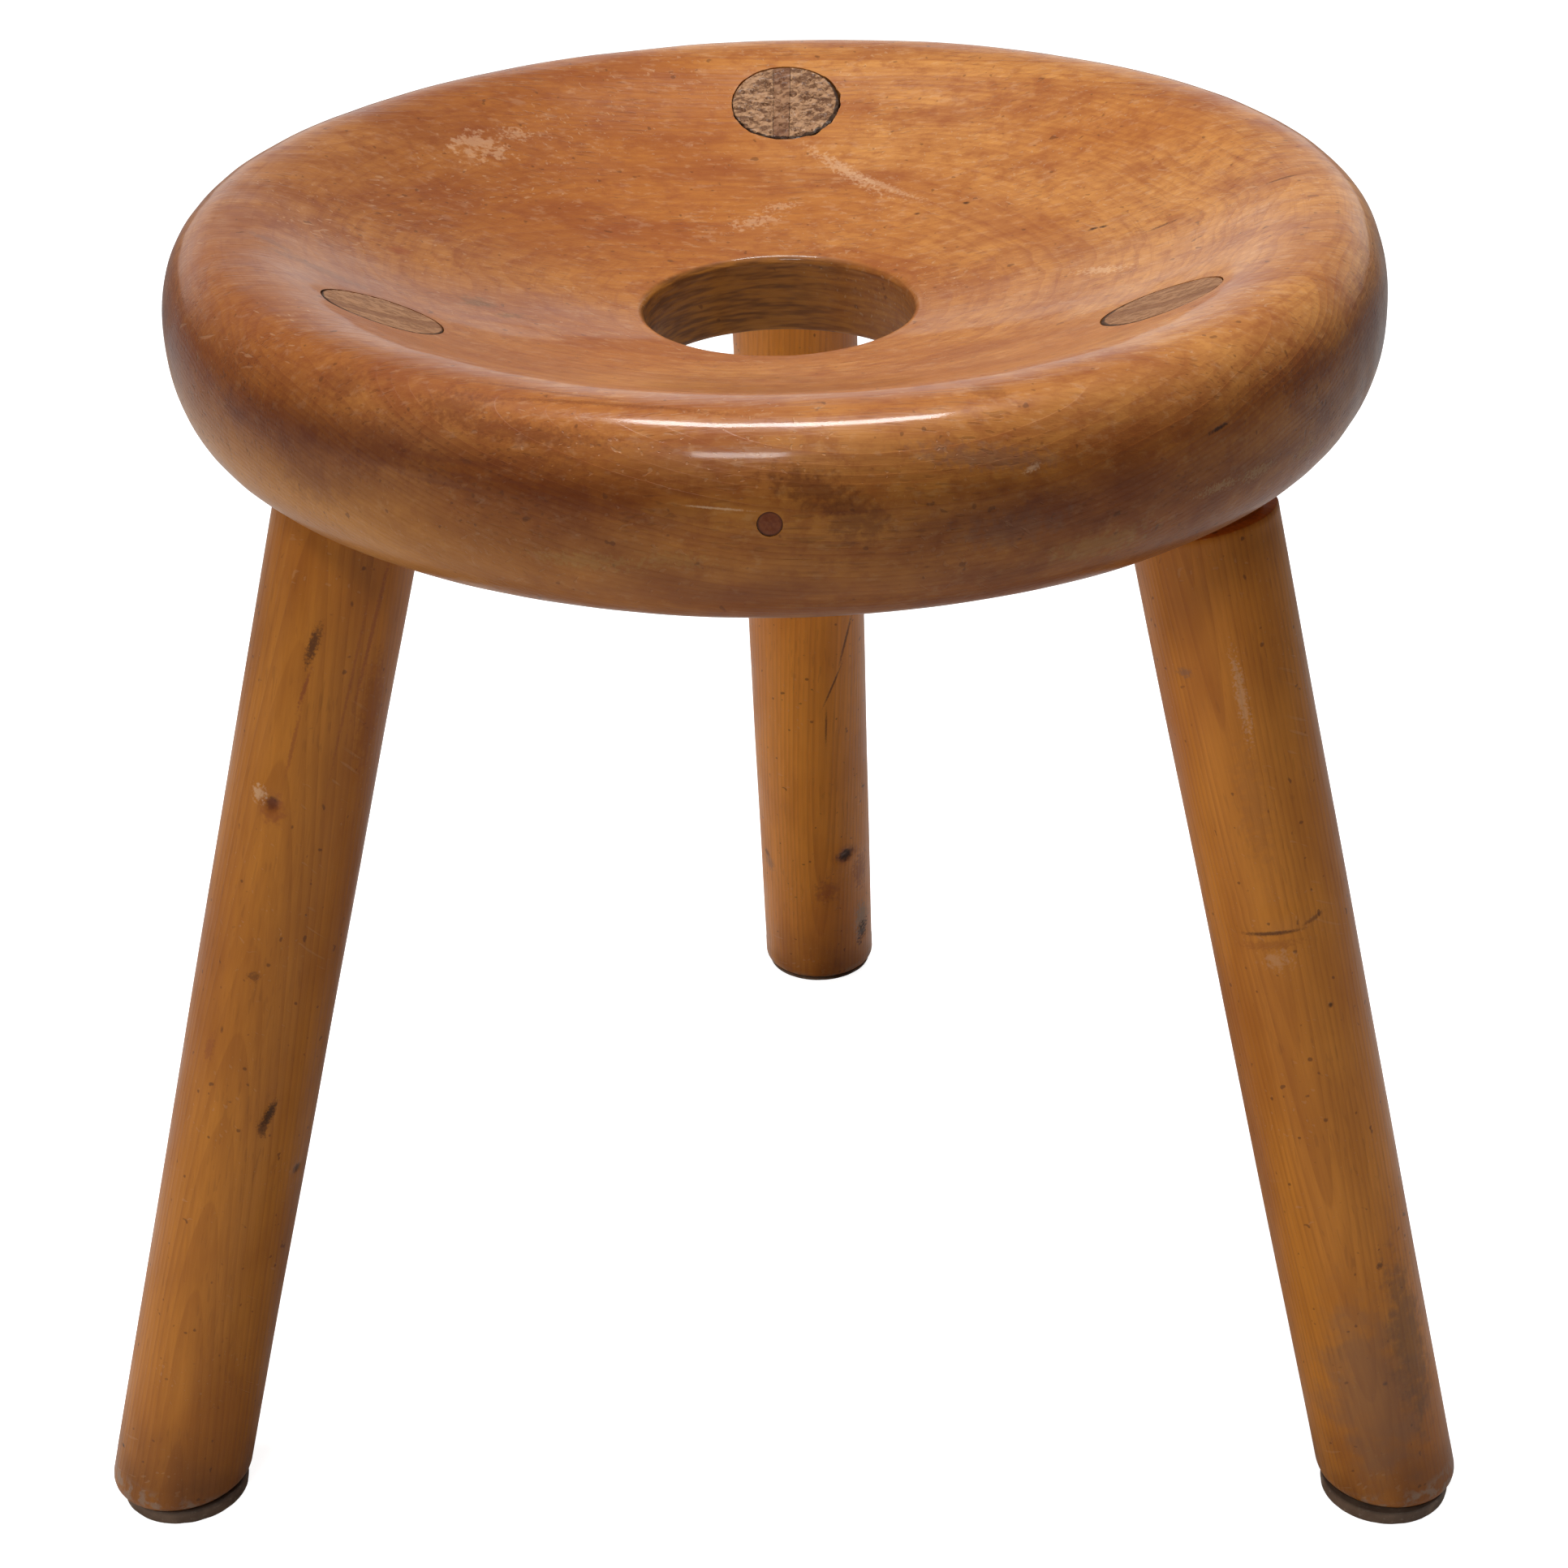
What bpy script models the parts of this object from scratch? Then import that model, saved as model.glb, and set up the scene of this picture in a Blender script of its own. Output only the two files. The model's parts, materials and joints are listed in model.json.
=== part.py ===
"""A three-legged wooden milking stool, built as it is made: a dished round seat with a hand hole,
three turned legs whose round tenons come up through the seat and are spread by wedges, a pad under
each foot and a small plug in the rim. Metres, +Z up, standing on z = 0."""

from math import asin, atan2, cos, pi, radians, sin

import bmesh
import bpy
from mathutils import Euler, Matrix, Vector
from mathutils.geometry import interpolate_bezier

# ---- Seat ----
SEAT_RADIUS = 0.180
SEAT_HEIGHT = 0.4044  # floor to the top of the crest
SEAT_THICKNESS = 0.0580  # crest to the flat underside
CREST_INSET = 0.019  # the crest is this far inside the widest part of the rim
WIDEST_DROP = 0.029  # the widest part of the rim is this far below the crest
UNDERSIDE_INSET = 0.0214  # the flat underside starts this far inside the rim
DISH_DEPTH = 0.0332  # crest to the lip of the hand hole
DISH_SLOPE = 0.177  # rise over run where the dish leaves the hand hole
DISH_INNER_EASE = 0.85  # curve handles, as shares of the dish's width
DISH_OUTER_EASE = 0.232
UPPER_RIM_FULLNESS = 2.25  # 2 is an ellipse, more is squarer
LOWER_RIM_FULLNESS = 2.27
SEAT_OVAL = 0.0016  # the seat dried wider along its grain and narrower across it by this much
GRAIN_TURN = 3.6
SEAT_LOBES = 0.0017  # hand shaping left three slight lobes on the rim, the first at LOBE_TURN
LOBE_TURN = 47.4
HOLE_RADIUS = 0.0408
HOLE_TOP_ROUND = 0.0025
HOLE_FOOT_ROUND = 0.0022

# ---- Legs and their joints ----
LEG_RADIUS = 0.0219
TENON_RADIUS = 0.0176
TENON_INSET = 0.0545  # rim to the middle of each tenon, on the dish
MORTISE_CLEARANCE = 0.0004
FOOT_ROUND = 0.0040
SHOULDER_ROUND = 0.0008
KERF_STOP = 0.006  # wood left between the kerf and the underside
WEDGE_THICKNESS = 0.006  # at the dish
WEDGE_TIP = 0.0014
WEDGE_END_ROOM = 0.0015  # empty kerf below the tip

# The legs were bored by eye, so each has its own lean. Turns are degrees round the seat, reach is how
# far the foot stands outside the tenon, standoff is how far the shoulder stops short of the seat, and
# wedge_shift is how far the kerf misses the middle. The pads were stuck on by hand, so each has its own
# shift from the leg's middle, and the rear one has worn thin.
LEGS = {
    "rear": {
        "tenon_turn": 90.0,
        "foot_turn": 89.3,
        "reach": 0.0968,
        "standoff": 0.0,
        "wedge_shift": 0.0014,
        "pad_thickness": 0.0012,
        "pad_shift": (0.0, 0.0),
    },
    "left": {
        "tenon_turn": 208.8,
        "foot_turn": 206.4,
        "reach": 0.1040,
        "standoff": 0.0,
        "wedge_shift": 0.0016,
        "pad_thickness": 0.0050,
        "pad_shift": (0.0025, 0.0007),
    },
    "right": {
        "tenon_turn": 330.2,
        "foot_turn": 331.8,
        "reach": 0.0926,
        "standoff": 0.0098,
        "wedge_shift": -0.0012,
        "pad_thickness": 0.0050,
        "pad_shift": (-0.0019, -0.0010),
    },
}

# ---- Pads and plug ----
PAD_RADIUS = 0.0204
PAD_EDGE = 0.0004
PLUG_RADIUS = 0.0032
PLUG_DEPTH = 0.020
PLUG_RISE = 0.0050  # above the widest part of the rim
PLUG_TURN = 270.6
PLUG_SUNK = 0.0001
PLUG_EDGE = 0.0003

GAP = 0.0003  # between touching pieces
SMOOTH_DEGREES = 35  # edges sharper than this stay sharp
MARGIN = 0.020  # how far a cutter runs past what it cuts

DISH_STEPS = 14
RIM_STEPS = 8
CORNER_STEPS = 4
CORNER_HANDLE = 0.55  # a quarter circle's curve handles reach this far to the corner
SEAT_SIDES = 96
LEG_SIDES = 40
PAD_SIDES = 40
PLUG_SIDES = 16

WIDEST_HEIGHT = SEAT_HEIGHT - WIDEST_DROP
UNDERSIDE_HEIGHT = SEAT_HEIGHT - SEAT_THICKNESS
CREST_RADIUS = SEAT_RADIUS - CREST_INSET
UP = Vector((0, 0, 1))


def clear_scene():
    for old in list(bpy.data.objects):
        bpy.data.objects.remove(old, do_unlink=True)


def material(name, colour, roughness):
    made = bpy.data.materials.new(name)
    made.use_nodes = True
    shader = made.node_tree.nodes["Principled BSDF"]
    shader.inputs["Base Color"].default_value = (*colour, 1.0)
    shader.inputs["Roughness"].default_value = roughness
    shader.inputs["Metallic"].default_value = 0.0
    return made


def turned_point(radius, degrees, height):
    return Vector((radius * cos(radians(degrees)), radius * sin(radians(degrees)), height))


# ---- Outlines, as (radius, height) points ----
def curve(start, start_handle, end_handle, end, steps):
    points = [Vector((r, z)) for r, z in (start, start_handle, end_handle, end)]
    return [tuple(p) for p in interpolate_bezier(*points, steps + 1)]


def dish_outline():
    """The hollow of the seat, from the hand hole out to the crest."""
    start = (HOLE_RADIUS + HOLE_TOP_ROUND, SEAT_HEIGHT - DISH_DEPTH)
    end = (CREST_RADIUS, SEAT_HEIGHT)
    width = end[0] - start[0]
    inner = DISH_INNER_EASE * width
    inner_handle = (start[0] + inner, start[1] + DISH_SLOPE * inner)
    outer_handle = (end[0] - DISH_OUTER_EASE * width, end[1])
    return curve(start, inner_handle, outer_handle, end, DISH_STEPS)


def dish_height(radius):
    """Height of the dish at a radius, read off its outline."""
    outline = dish_outline()
    for (r0, z0), (r1, z1) in zip(outline, outline[1:]):
        if radius <= r1:
            return z0 + (z1 - z0) * (radius - r0) / (r1 - r0)
    return outline[-1][1]


def rim_outline(inset, drop, fullness):
    """Quarter of the rim's section, from the widest part (0, 0) inwards by inset and away by drop."""
    points = []
    for i in range(RIM_STEPS + 1):
        angle = 0.5 * pi * i / RIM_STEPS
        points.append((-inset * (1 - cos(angle) ** (2 / fullness)), drop * sin(angle) ** (2 / fullness)))
    return points


def upper_rim():
    quarter = rim_outline(CREST_INSET, WIDEST_DROP, UPPER_RIM_FULLNESS)
    return [(SEAT_RADIUS + r, WIDEST_HEIGHT + z) for r, z in reversed(quarter)]


def lower_rim():
    quarter = rim_outline(UNDERSIDE_INSET, WIDEST_HEIGHT - UNDERSIDE_HEIGHT, LOWER_RIM_FULLNESS)
    return [(SEAT_RADIUS + r, WIDEST_HEIGHT - z) for r, z in quarter]


def rim_radius(rise):
    """Radius of the rim's surface at a rise above its widest part."""
    left = 1 - (rise / WIDEST_DROP) ** UPPER_RIM_FULLNESS
    return CREST_RADIUS + CREST_INSET * left ** (1 / UPPER_RIM_FULLNESS)


def rim_offset(angle):
    """How far the rim stands outside a true circle, at an angle in radians."""
    oval = SEAT_OVAL * cos(2 * (angle - radians(GRAIN_TURN)))
    return oval + SEAT_LOBES * cos(3 * (angle - radians(LOBE_TURN)))


def out_of_round(solid):
    """Push a turned solid out of round, from nothing at the hand hole to the full offset at the rim."""
    for vert in solid.verts:
        radius = vert.co.xy.length
        if radius > HOLE_RADIUS:
            share = (radius - HOLE_RADIUS) / (SEAT_RADIUS - HOLE_RADIUS)
            vert.co.xy *= 1 + share * rim_offset(atan2(vert.co.y, vert.co.x)) / radius
    return solid


def rounded_corner(corner, back, on):
    """A corner rounded by a curve from a point behind it to a point past it."""
    handles = [Vector(end).lerp(Vector(corner), CORNER_HANDLE) for end in (back, on)]
    return curve(back, *handles, on, CORNER_STEPS)


def seat_outline():
    """Closed section of the seat: dish, rim, underside and the wall of the hand hole."""
    lip_height = SEAT_HEIGHT - DISH_DEPTH
    foot = rounded_corner(
        (HOLE_RADIUS, UNDERSIDE_HEIGHT),
        (HOLE_RADIUS + HOLE_FOOT_ROUND, UNDERSIDE_HEIGHT),
        (HOLE_RADIUS, UNDERSIDE_HEIGHT + HOLE_FOOT_ROUND),
    )
    lip = rounded_corner(
        (HOLE_RADIUS, lip_height - DISH_SLOPE * HOLE_TOP_ROUND),
        (HOLE_RADIUS, lip_height - HOLE_TOP_ROUND),
        (HOLE_RADIUS + HOLE_TOP_ROUND, lip_height),
    )
    return dish_outline() + upper_rim()[1:] + lower_rim()[1:] + foot + lip[:-1]


# ---- Solids ----
def finish(mesh_data, name, look):
    mesh = bpy.data.meshes.new(name)
    bmesh.ops.recalc_face_normals(mesh_data, faces=mesh_data.faces)
    mesh_data.to_mesh(mesh)
    mesh_data.free()
    mesh.shade_smooth()
    mesh.set_sharp_from_angle(angle=radians(SMOOTH_DEGREES))
    mesh.materials.append(look)
    made = bpy.data.objects.new(name, mesh)
    bpy.context.scene.collection.objects.link(made)
    return made


def revolved(outline, sides, closed):
    """Spin a section once round the Z axis; an open section starts and ends on the axis."""
    solid = bmesh.new()
    verts = [solid.verts.new((r, 0, z)) for r, z in outline]
    edges = [solid.edges.new(pair) for pair in zip(verts, verts[1:])]
    if closed:
        edges.append(solid.edges.new((verts[-1], verts[0])))
    bmesh.ops.spin(
        solid, geom=verts + edges, axis=UP, cent=(0, 0, 0), steps=sides, angle=2 * pi, use_duplicate=False
    )
    bmesh.ops.remove_doubles(solid, verts=solid.verts, dist=1e-6)
    return solid


def trim(solid, point, normal):
    """Cut away what lies on the normal's side of a plane and cap the cut."""
    everything = solid.verts[:] + solid.edges[:] + solid.faces[:]
    cut = bmesh.ops.bisect_plane(
        solid, geom=everything, plane_co=point, plane_no=normal, clear_outer=True, dist=1e-7
    )
    rim_edges = [item for item in cut["geom_cut"] if isinstance(item, bmesh.types.BMEdge)]
    bmesh.ops.holes_fill(solid, edges=rim_edges)
    return rim_edges


def boolean(target, cutter, operation="DIFFERENCE"):
    step = target.modifiers.new(f"{operation.lower()} {cutter.name}", "BOOLEAN")
    step.operation = operation
    step.solver = "EXACT"
    step.object = cutter


def as_cutter(made):
    made.hide_render = True
    made.display_type = "WIRE"
    return made


def place(made, parent, location=(0, 0, 0), rotation=(0, 0, 0)):
    made.parent = parent
    made.location = location
    made.rotation_euler = rotation
    return made


# ---- Where each leg goes ----
def leg_frame(leg):
    """Foot point, turn and length of a leg's axis, from the floor to the dish.
    Local X runs across the radius, so a wedge that is thin in X splits the tenon along the radius."""
    tenon_circle = SEAT_RADIUS - TENON_INSET
    top = turned_point(tenon_circle, leg["tenon_turn"], dish_height(tenon_circle))
    foot = turned_point(tenon_circle + leg["reach"], leg["foot_turn"], 0)
    along = (top - foot).normalized()
    across = turned_point(1, leg["tenon_turn"] + 90, 0)
    across = (across - across.dot(along) * along).normalized()
    turn = Matrix((across, along.cross(across), along)).transposed()
    return foot, turn, (top - foot).length


def level_plane(foot, turn, height):
    """A level plane as a point and a normal in a leg's own frame."""
    along = turn.col[2]
    return (0, 0, (height - foot.z) / along.z), turn.transposed() @ UP


# ---- Pieces ----
def build_seat(parent, look):
    return place(finish(out_of_round(revolved(seat_outline(), SEAT_SIDES, True)), "seat", look), parent)


def build_dish_cutter(parent, look):
    """Everything above the seat's top surface."""
    top = SEAT_HEIGHT + 3 * MARGIN
    outline = [(0, SEAT_HEIGHT - DISH_DEPTH)] + dish_outline() + upper_rim()[1:]
    outline += [(SEAT_RADIUS, top), (0, top)]
    solid = out_of_round(revolved(outline, SEAT_SIDES, False))
    return as_cutter(place(finish(solid, "dish_cutter", look), parent))


def build_leg(name, leg, parent, look):
    """A turned leg: a body with a square shoulder, and the tenon that goes up through the seat."""
    foot, turn, length = leg_frame(leg)
    along = turn.col[2]
    lean = asin((along.x**2 + along.y**2) ** 0.5)
    highest_shoulder = (UNDERSIDE_HEIGHT - GAP - LEG_RADIUS * sin(lean)) / along.z
    shoulder = highest_shoulder - leg["standoff"]
    outline = [
        (0, -MARGIN),
        (LEG_RADIUS, -MARGIN),
        (LEG_RADIUS, shoulder - SHOULDER_ROUND),
        (LEG_RADIUS - SHOULDER_ROUND, shoulder),
        (TENON_RADIUS, shoulder),
        (TENON_RADIUS, length + MARGIN),
        (0, length + MARGIN),
    ]
    solid = revolved(outline, LEG_SIDES, False)
    point, up = level_plane(foot, turn, leg["pad_thickness"] + GAP)
    foot_edges = trim(solid, point, -up)
    bmesh.ops.bevel(
        solid, geom=foot_edges, offset=FOOT_ROUND, segments=CORNER_STEPS, profile=0.5, affect="EDGES"
    )
    return place(finish(solid, f"leg_{name}", look), parent, foot, turn.to_euler())


def wedge_solid(leg, spare, end_room):
    """A tapered block along the radius of the tenon, in the leg's own frame, thick end up. The kerf is
    the same block with spare on each side, and the wedge stops end_room short of the kerf's bottom."""
    foot, turn, length = leg_frame(leg)
    bottom = level_plane(foot, turn, UNDERSIDE_HEIGHT + KERF_STOP)[0][2] + end_room
    top = length + MARGIN
    growth = (WEDGE_THICKNESS - WEDGE_TIP) / (length - bottom)
    solid = bmesh.new()
    bmesh.ops.create_cube(solid, size=2)
    for corner in solid.verts:
        high = corner.co.z > 0
        half = 0.5 * (WEDGE_TIP + (growth * (top - bottom) if high else 0)) + spare
        corner.co = (
            leg["wedge_shift"] + corner.co.x * half,
            corner.co.y * (TENON_RADIUS + MARGIN),
            top if high else bottom,
        )
    return solid, foot, turn


def build_kerf_cutter(name, leg, parent, look):
    solid, foot, turn = wedge_solid(leg, GAP, 0)
    return as_cutter(place(finish(solid, f"kerf_cutter_{name}", look), parent, foot, turn.to_euler()))


def build_wedge(name, leg, parent, look):
    solid, foot, turn = wedge_solid(leg, 0, WEDGE_END_ROOM)
    return place(finish(solid, f"wedge_{name}", look), parent, foot, turn.to_euler())


def build_rod(name, radius, leg, parent, look):
    """A rod along a leg's axis, used to bore the mortise and to round the wedge."""
    foot, turn, length = leg_frame(leg)
    low = level_plane(foot, turn, UNDERSIDE_HEIGHT)[0][2] - MARGIN
    outline = [(0, low), (radius, low), (radius, length + 2 * MARGIN), (0, length + 2 * MARGIN)]
    rod = finish(revolved(outline, LEG_SIDES, False), name, look)
    return as_cutter(place(rod, parent, foot, turn.to_euler()))


def build_pad(name, leg, parent, look):
    """A level disc on the floor under a leg, with eased edges."""
    foot, _, _ = leg_frame(leg)
    centre = foot + Vector((*leg["pad_shift"], 0))
    top = leg["pad_thickness"]
    outline = [
        (0, 0),
        (PAD_RADIUS - PAD_EDGE, 0),
        (PAD_RADIUS, PAD_EDGE),
        (PAD_RADIUS, top - PAD_EDGE),
        (PAD_RADIUS - PAD_EDGE, top),
        (0, top),
    ]
    return place(finish(revolved(outline, PAD_SIDES, False), f"foot_pad_{name}", look), parent, centre)


def build_plug(parent, look):
    """The rim plug, its face sunk a hair under the rim, and the cutter for its blind hole."""
    face = rim_radius(PLUG_RISE + PLUG_RADIUS) + rim_offset(radians(PLUG_TURN)) - PLUG_SUNK
    turn = Euler((0, pi / 2, radians(PLUG_TURN))).to_matrix().to_euler()
    centre = (0, 0, WIDEST_HEIGHT + PLUG_RISE)
    rod = [(0, face - PLUG_DEPTH), (PLUG_RADIUS, face - PLUG_DEPTH), (PLUG_RADIUS, face - PLUG_EDGE)]
    rod += [(PLUG_RADIUS - PLUG_EDGE, face), (0, face)]
    plug = place(finish(revolved(rod, PLUG_SIDES, False), "rim_plug", look), parent, centre, turn)
    bore_radius = PLUG_RADIUS + GAP
    bore_end = face - PLUG_DEPTH - 2 * GAP
    mouth = SEAT_RADIUS + MARGIN
    bore = [(0, bore_end), (bore_radius, bore_end), (bore_radius, mouth), (0, mouth)]
    cutter = place(finish(revolved(bore, PLUG_SIDES, False), "plug_cutter", look), parent, centre, turn)
    return plug, as_cutter(cutter)


def footprint_middle():
    """Middle of the stool's outline seen from above, measured from the seat's axis."""
    feet = [leg_frame(leg)[0] for leg in LEGS.values()]
    xs = [foot.x + side * LEG_RADIUS for foot in feet for side in (-1, 1)] + [-SEAT_RADIUS, SEAT_RADIUS]
    ys = [foot.y + side * LEG_RADIUS for foot in feet for side in (-1, 1)] + [-SEAT_RADIUS, SEAT_RADIUS]
    return Vector(((min(xs) + max(xs)) / 2, (min(ys) + max(ys)) / 2, 0))


def main():
    clear_scene()
    seat_wood = material("seat wood", (0.50, 0.24, 0.09), 0.40)
    leg_wood = material("leg wood", (0.33, 0.15, 0.05), 0.42)
    wedge_wood = material("wedge wood", (0.20, 0.11, 0.07), 0.60)
    pad_rubber = material("pad rubber", (0.04, 0.036, 0.034), 0.95)
    plug_wood = material("plug wood", (0.035, 0.018, 0.010), 0.55)

    stool = bpy.data.objects.new("stool", None)
    stool.location = -footprint_middle()
    bpy.context.scene.collection.objects.link(stool)

    seat = build_seat(stool, seat_wood)
    dish_cutter = build_dish_cutter(stool, seat_wood)
    for name, leg in LEGS.items():
        mortise = build_rod(f"mortise_cutter_{name}", TENON_RADIUS + MORTISE_CLEARANCE, leg, stool, seat_wood)
        boolean(seat, mortise)

        made_leg = build_leg(name, leg, stool, leg_wood)
        boolean(made_leg, build_kerf_cutter(name, leg, stool, leg_wood))
        boolean(made_leg, dish_cutter)

        wedge = build_wedge(name, leg, stool, wedge_wood)
        boolean(wedge, build_rod(f"wedge_rounder_{name}", TENON_RADIUS, leg, stool, wedge_wood), "INTERSECT")
        boolean(wedge, dish_cutter)

        build_pad(name, leg, stool, pad_rubber)

    _, plug_cutter = build_plug(stool, plug_wood)
    boolean(seat, plug_cutter)


main()
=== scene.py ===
# %% [markdown]
# # A worn wooden milking stool
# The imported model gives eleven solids: a dished seat, three legs with wedged tenons, their wedges and
# pads, and a plug in the rim. They are true to size but plain and faceted. This lesson keeps every size
# and gives each piece the surface of the real thing: hand-shaped wood, open end grain, knots, stains,
# scuffs and an old satin varnish.

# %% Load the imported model
import json
from math import cos, pi, radians, sin

import bmesh
import bpy
import numpy as np
from mathutils import Matrix, Vector, noise
from mathutils.geometry import interpolate_bezier


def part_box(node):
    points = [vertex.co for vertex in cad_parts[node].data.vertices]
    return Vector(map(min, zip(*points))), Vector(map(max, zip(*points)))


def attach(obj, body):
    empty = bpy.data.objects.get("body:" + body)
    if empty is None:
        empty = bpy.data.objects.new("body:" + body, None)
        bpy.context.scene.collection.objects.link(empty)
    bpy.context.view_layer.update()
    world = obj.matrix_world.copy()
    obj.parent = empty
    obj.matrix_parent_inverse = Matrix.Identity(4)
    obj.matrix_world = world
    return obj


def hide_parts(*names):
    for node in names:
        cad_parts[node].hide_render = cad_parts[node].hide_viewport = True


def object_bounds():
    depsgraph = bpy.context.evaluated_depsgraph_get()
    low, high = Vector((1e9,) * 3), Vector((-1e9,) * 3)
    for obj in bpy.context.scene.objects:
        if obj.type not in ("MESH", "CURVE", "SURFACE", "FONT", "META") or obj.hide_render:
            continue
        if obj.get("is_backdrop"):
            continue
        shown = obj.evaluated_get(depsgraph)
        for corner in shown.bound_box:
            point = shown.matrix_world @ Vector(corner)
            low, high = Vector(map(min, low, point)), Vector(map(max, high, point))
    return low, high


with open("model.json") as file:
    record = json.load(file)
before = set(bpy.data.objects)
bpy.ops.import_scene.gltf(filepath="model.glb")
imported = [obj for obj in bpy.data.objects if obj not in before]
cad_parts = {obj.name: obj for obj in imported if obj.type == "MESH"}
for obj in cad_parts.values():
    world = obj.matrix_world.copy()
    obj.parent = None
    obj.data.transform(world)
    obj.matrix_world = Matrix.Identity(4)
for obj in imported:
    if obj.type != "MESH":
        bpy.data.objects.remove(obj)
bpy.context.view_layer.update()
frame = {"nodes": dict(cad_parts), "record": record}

print("pieces:", sorted(frame["nodes"]))

# %% [markdown]
# ## The camera
# The stool is seen from a standing person's height, a little to one side, through a moderately long
# lens. The camera is set out from the middle of the seat, which is the middle of the hand hole.

# %% Set the camera
hand_hole = frame["record"]["physics"]["openings"][0]["box_m"]
seat_middle = Vector([(hand_hole[0][i] + hand_hole[1][i]) / 2 for i in (0, 1)] + [0])
CAMERA_BACK = 0.9146
CAMERA_HEIGHT = 0.7166
CAMERA_SIDE_TURN = 1.81  # degrees round the stool
CAMERA_HEADING = 1.97
CAMERA_TILT = -29.19
CAMERA_ROLL = -1.61
CAMERA_LENS = 73.9

camera = bpy.data.objects.new("camera", bpy.data.cameras.new("camera"))
camera.data.lens = CAMERA_LENS
camera.data.sensor_width = 36
side_turn = radians(CAMERA_SIDE_TURN)
camera.location = seat_middle + Vector((
    sin(side_turn) * CAMERA_BACK, -cos(side_turn) * CAMERA_BACK, CAMERA_HEIGHT))
heading = Matrix.Rotation(radians(CAMERA_HEADING), 3, "Z")
tilt = Matrix.Rotation(radians(90 + CAMERA_TILT), 3, "X")
roll = Matrix.Rotation(radians(CAMERA_ROLL), 3, "Z")
camera.rotation_euler = (heading @ tilt @ roll).to_euler()
bpy.context.scene.collection.objects.link(camera)
bpy.context.scene.camera = camera
print("camera at", [round(c, 3) for c in camera.location])

# %% [markdown]
# ## Floor and light
# The stool stands in a white cove whose far side glows and whose near side is dim, so the wood facing
# the viewer keeps its deep colour. A long soft light hangs straight overhead. It lights the dish far
# more than the rim and draws the bright line along the near crest. A smaller one in front lights the
# rim, and a low one at the left only fills. Light Path nodes let the cove and the floor look plain
# white and still light the wood softly. The first node helpers are made here, and used all through.

# %% Floor, world and lights
COVE_NEAR = 0.09
COVE_FAR = 0.95
COVE_FILL = 0.60  # share of the cove's glow that reaches the wood as soft light
FLOOR_GREY = 0.72
FLOOR_GLOW = 0.92


def add(tree, kind, inputs=None, **settings):
    """Add a shader node. An input is a plain value, or another node's output to link."""
    made = tree.nodes.new("ShaderNode" + kind)
    for name, value in settings.items():
        setattr(made, name, value)
    return fill(tree, made, inputs or {})


def fill(tree, made, inputs):
    for name, value in inputs.items():
        if isinstance(value, bpy.types.NodeSocket):
            tree.links.new(value, made.inputs[name])
        else:
            made.inputs[name].default_value = value
    return made


def sums(tree, operation, a, b=0.0, clamp=False):
    return add(tree, "Math", {0: a, 1: b}, operation=operation, use_clamp=clamp).outputs[0]


def times(tree, a, b):
    return sums(tree, "MULTIPLY", a, b)


def between(tree, value, low, high, start=0.0, end=1.0):
    """start below low, end above high, and a soft step from one to the other."""
    limits = {"Value": value, "From Min": low, "From Max": high, "To Min": start, "To Max": end}
    return add(tree, "MapRange", limits, interpolation_type="SMOOTHSTEP").outputs[0]


def make_floor():
    mesh = bpy.data.meshes.new("floor")
    size = 12
    corners = [(x * size, y * size, 0) for x, y in ((-1, -1), (1, -1), (1, 1), (-1, 1))]
    mesh.from_pydata(corners, [], [(0, 1, 2, 3)])
    floor = bpy.data.objects.new("floor", mesh)
    bpy.context.scene.collection.objects.link(floor)
    floor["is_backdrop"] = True
    paint = bpy.data.materials.new("floor_white")
    paint.use_nodes = True
    tree = paint.node_tree
    look = tree.nodes["Principled BSDF"]
    look.inputs["Base Color"].default_value = (FLOOR_GREY, FLOOR_GREY, FLOOR_GREY, 1)
    look.inputs["Roughness"].default_value = 1.0
    look.inputs["Specular IOR Level"].default_value = 0.0
    look.inputs["Emission Color"].default_value = (1, 1, 1, 1)
    seen = add(tree, "LightPath").outputs["Is Camera Ray"]
    tree.links.new(times(tree, seen, FLOOR_GLOW), look.inputs["Emission Strength"])
    mesh.materials.append(paint)


def make_cove():
    world = bpy.data.worlds.new("white_cove")
    world.use_nodes = True
    tree = world.node_tree
    way = add(tree, "SeparateXYZ", {0: add(tree, "TexCoord").outputs["Generated"]}).outputs
    far = between(tree, way["Y"], 0.45, 0.95)
    low = between(tree, way["Z"], 0.12, 0.50, 1.0, 0.0)
    both = times(tree, far, low)
    glow = between(tree, both, 0.0, 1.0, COVE_NEAR, COVE_FAR)
    soft = times(tree, glow, COVE_FILL)
    path = add(tree, "LightPath").outputs
    lit = add(tree, "Mix", {0: path["Is Diffuse Ray"], 2: glow, 3: soft}, data_type="FLOAT").outputs[0]
    seen = add(tree, "Mix", {0: path["Is Camera Ray"], 2: lit, 3: 1.0}, data_type="FLOAT").outputs[0]
    back = tree.nodes["Background"]
    back.inputs["Color"].default_value = (1, 1, 1, 1)
    tree.links.new(seen, back.inputs["Strength"])
    bpy.context.scene.world = world


def make_light(name, place, target, size, watts):
    data = bpy.data.lights.new(name, "AREA")
    data.shape = "RECTANGLE"
    data.size, data.size_y = size
    data.energy = watts
    light = bpy.data.objects.new(name, data)
    light.location = place
    light.rotation_euler = (Vector(target) - Vector(place)).to_track_quat("-Z", "Y").to_euler()
    bpy.context.scene.collection.objects.link(light)
    return light


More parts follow.
